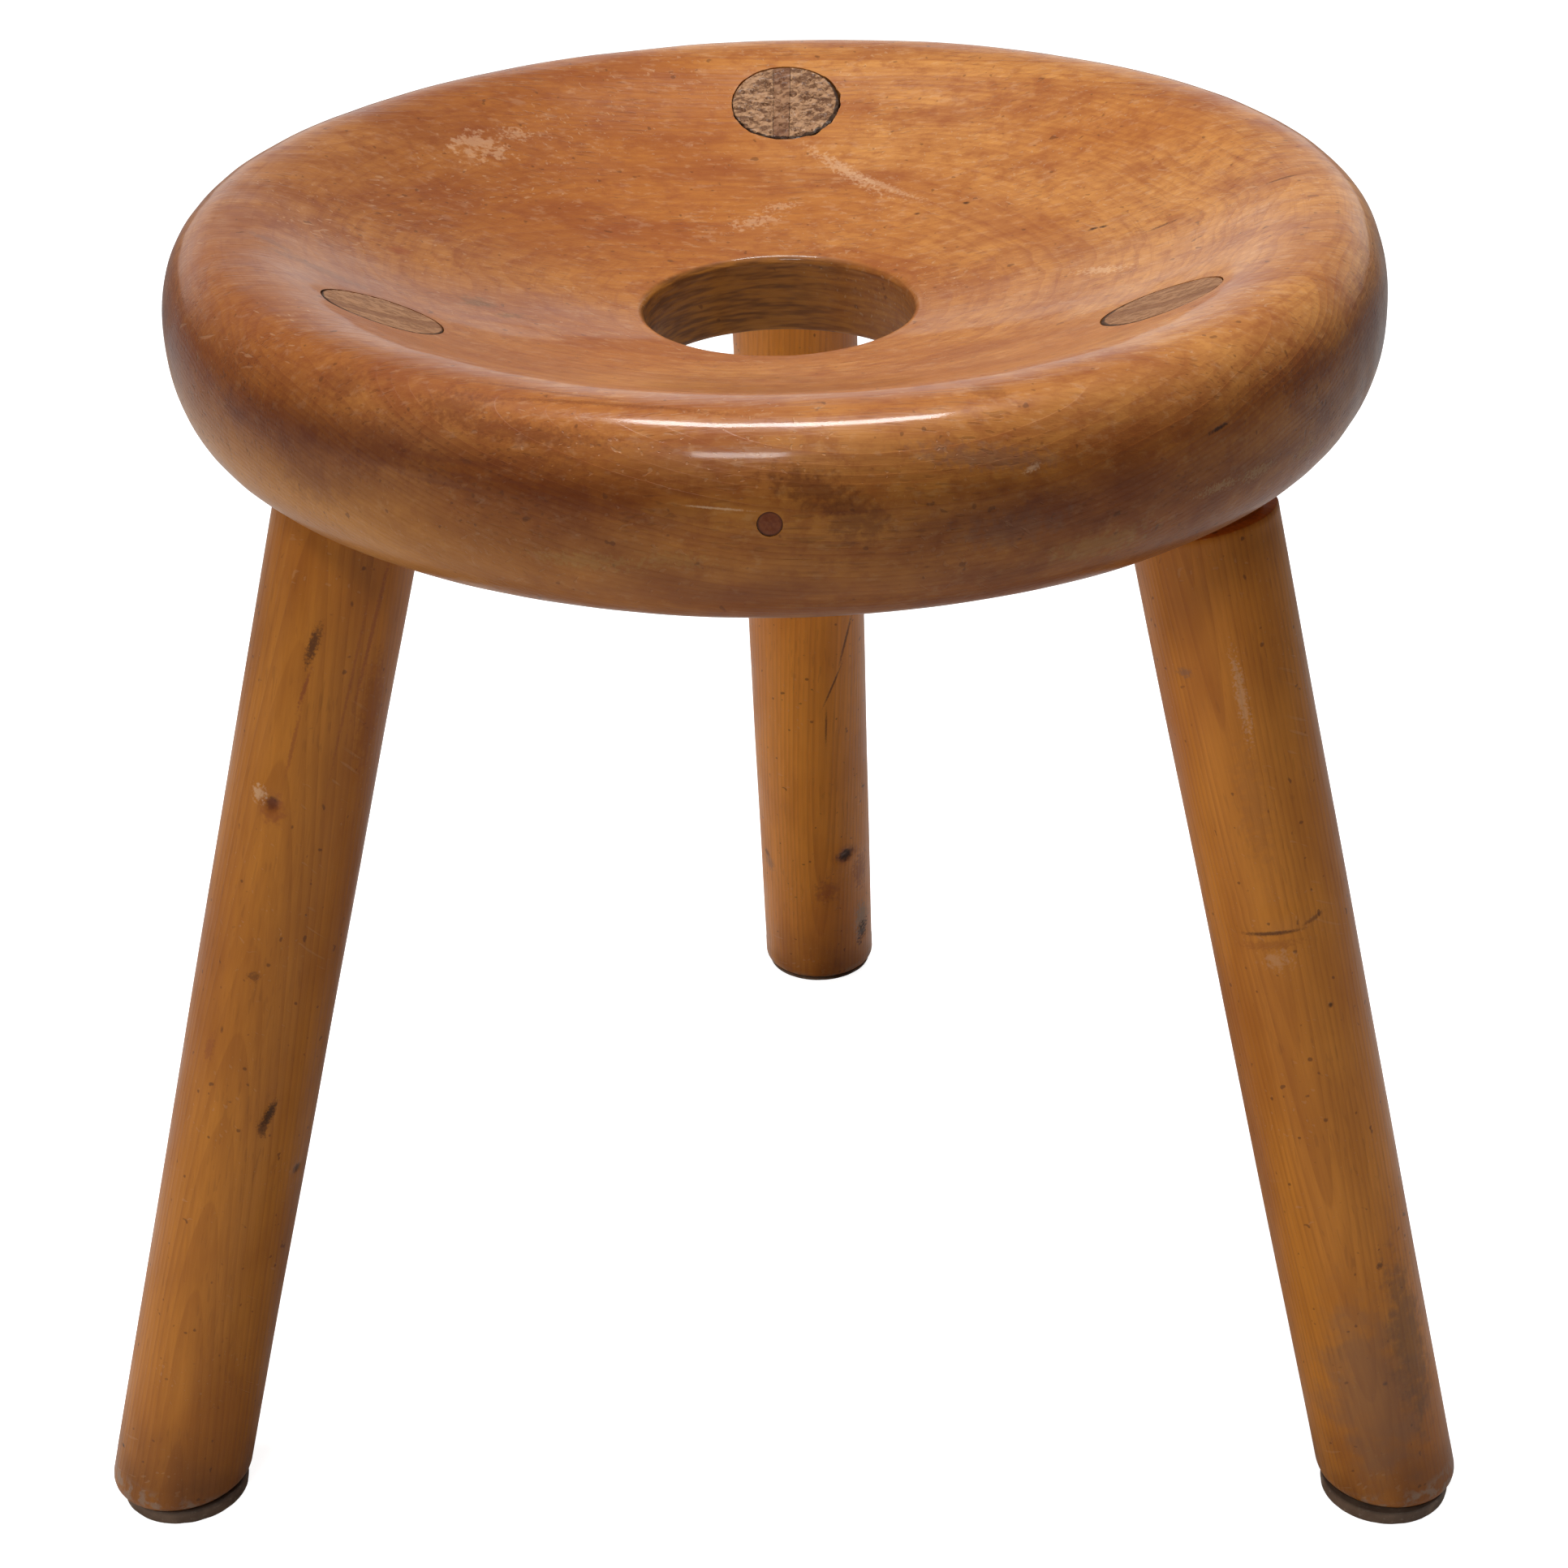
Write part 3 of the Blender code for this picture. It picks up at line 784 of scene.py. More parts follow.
def spun(tree, place, turn, back=False):
    """The place turned by three angles, or turned back."""
    return add(tree, "VectorRotate", {
        "Vector": place, "Rotation": turn}, rotation_type="EULER_XYZ", invert=back).outputs[0]


def wobble(tree, place, scale, **shape):
    """Noise from -0.5 to 0.5 along each axis."""
    made = add(tree, "TexNoise", {"Vector": place, "Scale": scale, "Detail": 2.0, **shape})
    return vectors(tree, "SUBTRACT", made.outputs["Color"], (0.5, 0.5, 0.5))


def new_group(name, inputs, outputs):
    """A node group with named sockets, as (tree, input node, output node)."""
    tree = bpy.data.node_groups.new(name, "ShaderNodeTree")
    kinds = {float: "NodeSocketFloat", tuple: "NodeSocketVector"}
    for label, value in inputs.items():
        socket = tree.interface.new_socket(label, in_out="INPUT", socket_type=kinds[type(value)])
        socket.default_value = value
    for label in outputs:
        tree.interface.new_socket(label, in_out="OUTPUT", socket_type="NodeSocketFloat")
    return tree, tree.nodes.new("NodeGroupInput"), tree.nodes.new("NodeGroupOutput")


def use(tree, group, inputs):
    """Place a node group in a material; return its outputs."""
    return fill(tree, add(tree, "Group", node_tree=group), inputs).outputs

# %% [markdown]
# ## Growth rings
# Wood is a stack of cones, one for each year. Sawn or turned anywhere, its figure is the distance from
# the pith: pale spring wood that darkens towards autumn and then stops sharply. Counting that distance
# in rings, with a slow wander so that no ring is a true circle, gives straight grain, arches and end
# grain from one recipe. The pith runs along X here, and each material turns its wood to suit.

# %% Growth ring group
def growth_rings():
    tree, given, result = new_group(
        "growth_rings", {"Vector": (0.0, 0.0, 0.0), "Ring Width": 0.002, "Wander": 0.006},
        ["Late Wood", "Year Tone"])
    place = given.outputs["Vector"]
    long = vectors(tree, "MULTIPLY", place, (0.25, 1, 1))
    sway = scaled(tree, wobble(tree, long, 14.0, Roughness=0.45), given.outputs["Wander"])
    shiver = scaled(tree, wobble(tree, long, 75.0), times(tree, given.outputs["Wander"], 0.05))
    place = vectors(tree, "ADD", vectors(tree, "ADD", place, sway), shiver)
    away = length(tree, vectors(tree, "MULTIPLY", place, (0.0, 1, 1)))
    count = sums(tree, "DIVIDE", away, given.outputs["Ring Width"])
    season = sums(tree, "FRACT", count)
    autumn = times(tree, between(tree, season, 0.25, 0.90), between(tree, season, 0.93, 1.0, 1.0, 0.0))
    year = add(tree, "TexWhiteNoise", {"W": sums(tree, "FLOOR", count)}, noise_dimensions="1D")
    strength = plus(tree, times(tree, year.outputs["Value"], 0.75), 0.25)
    tree.links.new(times(tree, autumn, strength), result.inputs["Late Wood"])
    tone = add(tree, "TexNoise", {
        "W": times(tree, count, 0.21), "Scale": 1.0, "Detail": 1.0}, noise_dimensions="1D")
    tree.links.new(tone.outputs["Fac"], result.inputs["Year Tone"])
    return tree


RINGS = growth_rings()

# %% [markdown]
# ## Fibres
# Between the rings the wood is bundles of fibres a fraction of a millimetre thick and a few centimetres
# long. Noise squeezed across the grain and stretched along it gives the streaks, and a sparser one
# gives the short dark pores. Cut across, the same noise turns into dots, as real end grain does.

# %% Fibre group
def fibres():
    tree, given, result = new_group(
        "fibres", {"Vector": (0.0, 0.0, 0.0), "Fineness": 1.0}, ["Streaks", "Pores"])
    place = scaled(tree, given.outputs["Vector"], given.outputs["Fineness"])
    thin = vectors(tree, "MULTIPLY", place, (0.035, 1, 1))
    fine = cloud(tree, thin, 900.0, 2.0, 0.6)
    broad = cloud(tree, thin, 260.0, 2.0, 0.5)
    both = plus(tree, times(tree, fine, 0.5), times(tree, broad, 0.5))
    tree.links.new(between(tree, both, 0.36, 0.64), result.inputs["Streaks"])
    short = vectors(tree, "MULTIPLY", place, (0.12, 1, 1))
    dots = cloud(tree, short, 1100.0, 0.0)
    patch = cloud(tree, place, 40.0, 1.0)
    holes = times(tree, between(tree, dots, 0.66, 0.74), between(tree, patch, 0.40, 0.62))
    tree.links.new(holes, result.inputs["Pores"])
    return tree


FIBRES = fibres()

# %% [markdown]
# ## Marks
# Stains, knots, scuffs and scratches each sit at one place. One group makes them all: it measures how
# far a point is from the mark's centre, in units of the mark's reach along three axes, after turning
# the mark and making its outline ragged.

# %% Mark group
def marks():
    tree, given, result = new_group(
        "mark", {"Vector": (0.0, 0.0, 0.0), "Centre": (0.0, 0.0, 0.0), "Reach": (0.01, 0.01, 0.01),
                 "Turn": (0.0, 0.0, 0.0), "Ragged": 0.5, "Grit": 250.0, "Edge": 0.5}, ["Mask"])
    out = given.outputs
    place = vectors(tree, "SUBTRACT", out["Vector"], out["Centre"])
    place = spun(tree, place, out["Turn"], back=True)
    away = length(tree, vectors(tree, "DIVIDE", place, out["Reach"]))
    torn = cloud(tree, out["Vector"], out["Grit"], 3.0, 0.6)
    torn = times(tree, minus(tree, torn, 0.5), out["Ragged"])
    away = plus(tree, away, times(tree, torn, 2.0))
    start = minus(tree, 1.0, out["Edge"])
    inside = between(tree, away, start, 1.0, 1.0, 0.0)
    tree.links.new(inside, result.inputs["Mask"])
    return tree


MARK = marks()

# %% [markdown]
# ## Wear
# Years of sitting and handling leave the same traces on every piece: fine scratches in all directions,
# tiny dark specks of dirt in the pores, and a varnish that is glossy in one patch and rubbed dull in
# the next.

# %% Wear group
def wear():
    tree, given, result = new_group(
        "wear", {"Vector": (0.0, 0.0, 0.0), "Amount": 0.5}, ["Scratches", "Specks", "Rubbed"])
    place, amount = given.outputs["Vector"], given.outputs["Amount"]
    lines = []
    for turn, stretch, scale in (((0.3, 0.2, 0.9), 0.03, 900.0), ((1.1, 0.4, 2.3), 0.035, 800.0)):
        turned = spun(tree, place, turn)
        thin = cloud(tree, turned, scale, 0.0, squeeze=(stretch, 1, 1))
        here = between(tree, cloud(tree, turned, 22.0, 1.0), 0.50, 0.62)
        lines.append(times(tree, between(tree, thin, 0.74, 0.80), here))
    both = sums(tree, "MAXIMUM", *lines)
    tree.links.new(times(tree, both, amount), result.inputs["Scratches"])
    dirt_and_gap_shade = between(tree, cloud(tree, place, 330.0, 1.0), 0.715, 0.77)
    tree.links.new(times(tree, dirt_and_gap_shade, amount), result.inputs["Specks"])
    tree.links.new(between(tree, cloud(tree, place, 26.0, 4.0, 0.62), 0.38, 0.66), result.inputs["Rubbed"])
    return tree


WEAR = wear()

# %% [markdown]
# ## Mixing marks into a colour
# A list of marks is easy to read and to add to: where, how far it reaches, how it is turned, what
# colour it leaves and how strongly. Lengths in these lists are millimetres, in the piece's own axes.

# %% Paint a list of marks
def thousandths(values):
    return tuple(value / 1000 for value in values)


def paint_marks(tree, place, colour, height, gloss, listed):
    """Mix marks into colour, and let them lower or raise the height and change the roughness."""
    for centre, reach, turn, ragged, shade, strength, *relief in listed:
        lift, dull = relief or (0, 0)
        grit = 2.5 / min(thousandths(reach))
        mask = use(tree, MARK, {
            "Vector": place, "Centre": thousandths(centre), "Reach": thousandths(reach),
            "Turn": tuple(radians(t) for t in turn), "Ragged": ragged,
            "Grit": min(grit, 1400.0), "Edge": 0.75})["Mask"]
        colour = tint(tree, colour, mask, strength, shade)
        if lift:
            height = plus(tree, height, times(tree, mask, lift))
        if dull:
            gloss = plus(tree, gloss, times(tree, mask, dull))
    return colour, height, gloss


def tint(tree, colour, mask, strength, shade):
    """Mix a shade into a colour where the mask is, as strongly as asked."""
    return mix(tree, times(tree, mask, strength), colour, (*shade, 1))


def sink(tree, height, mask, depth):
    """Lower the relief where the mask is."""
    return minus(tree, height, times(tree, mask, depth))


def new_look(name, frame_of_piece):
    """A material, and the place of each point in the piece's own frame."""
    look = bpy.data.materials.new(name)
    look.use_nodes = True
    tree = look.node_tree
    back = frame_of_piece.inverted()
    place = add(tree, "Mapping", {
        "Vector": add(tree, "TexCoord").outputs["Object"],
        "Location": back.to_translation(), "Rotation": back.to_euler()}).outputs[0]
    return look, tree, tree.nodes["Principled BSDF"], place


def join_look(tree, surface, colour, roughness, height, strength, distance):
    """Feed the finished colour, roughness and relief to the surface shader."""
    tree.links.new(colour, surface.inputs["Base Color"])
    tree.links.new(roughness, surface.inputs["Roughness"])
    relief = add(tree, "Bump", {"Height": height, "Strength": strength, "Distance": distance})
    tree.links.new(relief.outputs["Normal"], surface.inputs["Normal"])


def varnish(surface, weight, roughness, shine):
    surface.inputs["Coat Weight"].default_value = weight
    surface.inputs["Coat Roughness"].default_value = roughness
    surface.inputs["Coat IOR"].default_value = 1.5
    surface.inputs["Specular IOR Level"].default_value = shine

# %% [markdown]
# ## The seat's finish
# The seat is one board of pale close-grained wood, its grain running left to right and a little up. Its
# pith is below the board and the rings wander widely, so the bowl shows broad soft patches and fine
# lines. The varnish has gone honey-orange, redder at the left and brown on the rim. The low left of the
# rim is painted paler, a painted glow of light from the floor. The wall of the hand hole is painted dark,
# darkest at the left, as painted shade in the hole, and its varnish is thin.

# %% Finish the seat
HONEY = (0.58, 0.255, 0.070)
AMBER = (0.44, 0.155, 0.034)
RED_BROWN = (0.27, 0.070, 0.022)
OLD_RED = (0.15, 0.040, 0.014)
DARK_BROWN = (0.085, 0.030, 0.012)
GREY_BROWN = (0.17, 0.105, 0.075)
BLEACHED = (0.72, 0.46, 0.27)
NEAR_BLACK = (0.022, 0.010, 0.006)
KHAKI = (0.40, 0.25, 0.075)

# centre, reach, turn, raggedness, colour, strength, lift, dulling
SEAT_MARKS = [  # a row that ends with the strength neither lifts nor dulls
    ((-131, -35, 397), (30, 4.0, 14), (0, 0, -8), 0.7, (0.21, 0.100, 0.066), 0.60, 0, 0.10),
    ((-146, -26, 402), (14, 2.5, 8), (0, 0, -30), 0.8, (0.21, 0.100, 0.066), 0.5, 0, 0.05),
    ((-114, 5, 388), (5, 3.5, 8), (0, 0, 20), 0.5, RED_BROWN, 0.65),
    ((-88, -22, 381), (7, 6, 8), (0, 0, 0), 0.9, (0.15, 0.075, 0.030), 0.55, 0, 0.05),
    ((-78, -28, 380), (6, 3, 8), (0, 0, 30), 0.9, (0.15, 0.075, 0.030), 0.5, 0, 0.05),
    ((-97, 84, 395), (11, 7, 12), (0, 0, 40), 2.4, BLEACHED, 0.30, 0, 0.12),
    ((-86, 96, 395), (6, 3, 12), (0, 0, 10), 2.4, BLEACHED, 0.25, 0, 0.12),
    ((20, 90, 382), (24, 3.2, 12), (0, 0, -50), 1.6, BLEACHED, 0.38, 0, 0.08),
    ((32, 80, 380), (20, 2.0, 12), (0, 0, -42), 1.6, BLEACHED, 0.32, 0, 0.08),
    ((-9, 62, 375), (8, 4, 8), (0, 0, 30), 2.4, BLEACHED, 0.30, 0, 0.10),
    ((-1, 71, 377), (6, 2.5, 8), (0, 0, 10), 2.4, BLEACHED, 0.28, 0, 0.10),
    ((95.5, 26.5, 384), (2.2, 1.3, 4), (0, 0, 0), 0.5, NEAR_BLACK, 0.85, -0.5, 0.1),
    ((98.6, 26.0, 384), (1.7, 1.2, 4), (0, 0, 0), 0.5, NEAR_BLACK, 0.85, -0.5, 0.1),
    ((115, 13, 389), (7, 1.0, 5), (0, 0, 8), 0.8, DARK_BROWN, 0.65, -0.2, 0.1),
    ((151, 12, 403), (8, 0.9, 5), (0, 0, 10), 0.8, DARK_BROWN, 0.7, -0.2, 0.1),
    ((58, 63, 380), (1.6, 1.1, 4), (0, 0, -20), 0.4, NEAR_BLACK, 0.8, -0.4, 0),
    ((42.5, 61, 377), (1.2, 0.9, 4), (0, 0, 0), 0.4, DARK_BROWN, 0.8, -0.3, 0),
    ((96, -8, 383), (11, 3.0, 6), (0, 0, -28), 2.4, BLEACHED, 0.42, -0.1, 0.2),
    ((-11.5, -179, 384.5), (11, 6, 0.45), (0, 4, 0), 0.6, BLEACHED, 0.55, -0.4, 0.2),
    ((13, -178, 389.0), (17, 14, 6), (0, 15, 0), 0.9, (0.105, 0.025, 0.009), 0.60),
    ((24, -178, 380), (10, 14, 8), (0, 20, 0), 1.2, (0.105, 0.025, 0.009), 0.50),
    ((-62, -160, 398.3), (32, 9, 3.2), (0, 0, -24), 1.0, OLD_RED, 0.50),
    ((-77, -158, 389.5), (28, 14, 0.9), (0, -3, 0), 0.8, OLD_RED, 0.45, -0.1, 0),
    ((-72, -160, 386.3), (34, 14, 0.7), (0, -2, 0), 0.8, OLD_RED, 0.40, -0.1, 0),
    ((-80, -157, 382.8), (26, 14, 0.8), (0, 1, 0), 0.8, OLD_RED, 0.40, -0.1, 0),
    ((118, -135, 385.7), (5.5, 5, 0.8), (0, -10, 0), 0.7, NEAR_BLACK, 0.85, -0.4, 0.1),
    ((68, -165.5, 388.5), (3, 5, 1.2), (0, -20, 0), 1.0, BLEACHED, 0.5, 0, 0.1),
    ((-79, -149, 401), (26, 12, 4), (0, 0, 28), 1.0, OLD_RED, 0.50),
    ((-111, -129, 400), (26, 12, 5), (0, 0, 45), 0.9, OLD_RED, 0.38),
    ((58, -167, 392.5), (28, 14, 3.8), (0, 10, 0), 1.0, (0.17, 0.085, 0.066), 0.40),
    ((-46, -172, 367.5), (18, 14, 3.0), (0, 0, 0), 1.6, KHAKI, 0.22),
    ((-22, -177, 370), (12, 14, 2.6), (0, 0, 0), 1.6, KHAKI, 0.18),
    ((87, -156, 363), (20, 16, 5.0), (0, 0, 0), 1.4, KHAKI, 0.22),
    ((64, -168, 373), (20, 14, 6.0), (0, 0, 0), 1.2, GREY_BROWN, 0.24),
    # these three pale marks along the low front-right edge are a painted reflection of light from the floor
    ((118, -135, 369), (7, 8, 1.6), (0, 0, -45), 2.2, (0.50, 0.33, 0.16), 0.34, 0.1, 0.1),
    ((130, -123.5, 368.5), (9, 8, 2.0), (0, 6, -45), 2.2, (0.50, 0.33, 0.16), 0.34, 0.1, 0.1),
    ((145, -105, 366.5), (8, 8, 2.2), (0, 8, -50), 2.2, (0.50, 0.33, 0.16), 0.30, 0.1, 0.1),
    ((166, -62, 388), (16, 52, 13), (0, 0, 20), 0.7, OLD_RED, 0.38),
    ((-40, -157, 403.6), (46, 1.3, 3), (0, 0, -13), 1.0, OLD_RED, 0.45),
    ((-56, -148, 403.8), (36, 0.9, 3), (0, 0, -20), 1.0, OLD_RED, 0.40),
    ((-70, -136, 402.6), (30, 1.2, 4), (0, 0, -26), 1.2, RED_BROWN, 0.45),
    ((57, -152, 404.2), (7, 5, 3), (0, 0, -20), 0.8, OLD_RED, 0.35),
    ((66, -164, 378), (10, 12, 3), (0, -25, 0), 0.9, OLD_RED, 0.55),
    ((-62, -168, 392), (34, 12, 3.5), (0, 0, 20), 0.9, OLD_RED, 0.40),
    ((-120, -128, 372), (30, 16, 8), (0, 0, 40), 0.9, OLD_RED, 0.35),
    ((140, -100, 390), (22, 22, 6), (0, 0, -40), 0.9, OLD_RED, 0.45),
]


CREST_SIDE = (0.385, 0.4035)
LOW_SIDE = (0.362, 0.388)
UNDER_EDGE = (0.3475, 0.362)
INNER_LIP = (0.3665, 0.3695)
SIDE_REACH = (0.150, 0.176)


def seat_finish():
    look, tree, surface, place = new_look("seat_wood_worn", seat_place)
    board = add(tree, "Mapping", {
        "Vector": place, "Location": (0, -0.010, 0.020),
        "Rotation": (radians(2), radians(-3), radians(-4))}).outputs[0]
    rings = use(tree, RINGS, {"Vector": board, "Ring Width": 0.0016, "Wander": 0.016})
    fibre = use(tree, FIBRES, {"Vector": board, "Fineness": 1.0})
    worn = use(tree, WEAR, {"Vector": place, "Amount": 1.0})
    tone = cloud(tree, place, 9.0, 3.0, squeeze=(0.6, 1, 1))
    patch = cloud(tree, board, 42.0, 5.0, 0.62, squeeze=(0.45, 1, 1))
    mottle = cloud(tree, place, 150.0, 4.0, 0.65)
    parts = add(tree, "SeparateXYZ", {0: place}).outputs
    redder = plus(tree, tone, times(tree, parts[0], -0.55))  # the left side has gone redder
    colour = mix(tree, between(tree, redder, 0.40, 0.66), (*HONEY, 1), (*AMBER, 1))
    colour = tint(tree, colour, between(tree, patch, 0.46, 0.68), 0.52, RED_BROWN)
    colour = tint(tree, colour, between(tree, rings["Year Tone"], 0.48, 0.66), 0.24, RED_BROWN)
    colour = tint(tree, colour, rings["Late Wood"], 0.30, RED_BROWN)
    colour = tint(tree, colour, fibre["Streaks"], 0.24, RED_BROWN)
    colour = tint(tree, colour, between(tree, mottle, 0.46, 0.68), 0.44, RED_BROWN)
    colour = tint(tree, colour, fibre["Pores"], 0.24, DARK_BROWN)
    flecks = cloud(tree, place, 330.0, 3.0, 0.7, squeeze=(0.5, 1, 1))
    colour = tint(tree, colour, between(tree, flecks, 0.52, 0.68), 0.20, RED_BROWN)
    colour = mix(tree, between(tree, flecks, 0.46, 0.32, 0.0, 0.16), colour, (*BLEACHED, 1))
    angle = times(tree, sums(tree, "ARCTAN2", parts[1], parts[0]), 0.006)
    away = off_axis(tree, place)
    scraped = cloud(tree, add(tree, "CombineXYZ", {0: away, 1: angle, 2: 0.0}).outputs[0], 520.0, 3.0, 0.7)
    colour = mix(tree, between(tree, scraped, 0.50, 0.66, 0.0, 0.26), colour, (*RED_BROWN, 1))
    height = times(tree, rings["Late Wood"], 0.25)
    height = sink(tree, height, fibre["Streaks"], 0.22)
    height = sink(tree, height, fibre["Pores"], 0.25)
    height = sink(tree, height, worn["Scratches"], 0.5)
    height = sink(tree, height, scraped, 0.35)

    # the rim's side and underside are browner than the dish
    darker = mix(tree, 1.0, colour, (0.70, 0.66, 0.70, 1), "MULTIPLY")
    colour = mix(tree, between(tree, parts[0], -0.135, -0.02, 0.9, 0.0), colour, darker)
    below_crest = between(tree, parts[2], *CREST_SIDE, 1.0, 0.0)
    side = times(tree, between(tree, away, *SIDE_REACH), below_crest)
    stain = between(tree, cloud(tree, place, 30.0, 4.0, 0.6, squeeze=(0.5, 0.5, 1.6)), 0.36, 0.66)
    browned = mix(tree, stain, (0.78, 0.68, 0.46, 1), (0.44, 0.32, 0.26, 1))
    # the low left of the rim is painted paler and kept from browning: painted light, a glow from the floor
    low = between(tree, parts[2], *LOW_SIDE, 1.0, 0.0)
    low_left = times(tree, between(tree, parts[0], -0.14, 0.02, 1.0, 0.2), low)
    colour = mix(tree, times(tree, times(tree, low_left, side), 0.45), colour, (0.66, 0.29, 0.05, 1))
    browning = times(tree, side, minus(tree, 1.0, times(tree, low_left, 0.95)))
    colour = mix(tree, browning, colour, mix(tree, 1.0, colour, browned, "MULTIPLY"))
    below = between(tree, parts[2], *UNDER_EDGE, 1.0, 0.0)
    colour = tint(tree, colour, below, 0.25, RED_BROWN)
    hole = between(tree, away, HOLE_RADIUS + 0.0003, HOLE_RADIUS + 0.0020, 1.0, 0.0)
    # the hand hole's wall is painted dark, most at the left and least at the right: painted shade inside
    # the hole, over the turned tool rings
    shade = minus(tree, 0.92, times(tree, between(tree, parts[0], -0.005, 0.040), 0.60))
    turned = cloud(tree, place, 700.0, 2.0, squeeze=(0.12, 0.12, 1))
    wall = mix(tree, between(tree, turned, 0.34, 0.66), (0.15, 0.055, 0.014, 1), (0.34, 0.130, 0.022, 1))
    colour = mix(tree, times(tree, hole, shade), colour, wall)

    # end grain at the left and right of the rim drinks more stain and is pitted
    ends = times(tree, between(tree, sums(tree, "ABSOLUTE", parts[0]), 0.105, 0.165), side)
    pits = times(tree, between(tree, cloud(tree, place, 520.0, 2.0, 0.6), 0.60, 0.70), ends)
    colour = tint(tree, colour, pits, 0.55, DARK_BROWN)
    height = sink(tree, height, pits, 0.6)
    colour = tint(tree, colour, worn["Specks"], 0.5, DARK_BROWN)
    scratched = times(tree, worn["Scratches"], minus(tree, 0.20, times(tree, side, 0.14)))
    colour = mix(tree, scratched, colour, (*BLEACHED, 1))
    gloss = plus(tree, times(tree, worn["Rubbed"], 0.13), 0.30)
    gloss = plus(tree, gloss, times(tree, hole, 0.12))
    colour, height, gloss = paint_marks(tree, place, colour, height, gloss, SEAT_MARKS)
    join_look(tree, surface, colour, gloss, height, 0.55, 0.00035)
    varnish(surface, 0.35, 0.10, 0.15)
    inner = times(tree, hole, between(tree, parts[2], *INNER_LIP, 1.0, 0.0))
    thinned = sums(tree, "ADD", times(tree, side, 0.24), times(tree, inner, 0.28), clamp=True)
    tree.links.new(sums(tree, "SUBTRACT", 0.35, thinned, clamp=True), surface.inputs["Coat Weight"])
    return look


finish_piece(seat, "seat", seat_finish())

# %% [markdown]
# ## The legs' finish
# The legs were turned from smaller, straighter stuff, so their rings show as long narrow arches. Each
# leg has its own pith and its own marks: knots, flame-shaped streaks, gouges, dust near the floor, and a
# darkening towards the floor.
# Where the tenon's end shows in the dish, the varnish is gone and the end grain has turned grey.

# %% Finish the legs
LEG_PALE = (0.62, 0.225, 0.030)
LEG_DEEP = (0.46, 0.150, 0.018)
LEG_RED = (0.28, 0.075, 0.012)
END_PALE = (0.42, 0.235, 0.125)
END_DARK = (0.14, 0.062, 0.030)
DUSTY = (0.30, 0.22, 0.16)
# tone scales a whole leg's colour; the rear leg's high tone is painted light, for the light the seat keeps
# off it
LEG_LOOKS = {
    "rear": {"pith": (0.012, 0.030, 0), "lean": (2.0, -3.0), "ring": 0.0019, "end": 1.0,
             "tone": 1.28, "opened": (0.035, -0.050, 0)},
    "left": {"pith": (-0.014, 0.034, 0), "lean": (-3.0, 2.5), "ring": 0.0021, "end": 0.45,
             "tone": 0.88, "opened": (0.0, -0.030, 0)},
    "right": {"pith": (0.006, 0.040, 0), "lean": (2.5, 1.5), "ring": 0.0018, "end": 0.45,
              "tone": 1.03, "opened": (-0.040, -0.015, 0)},
}
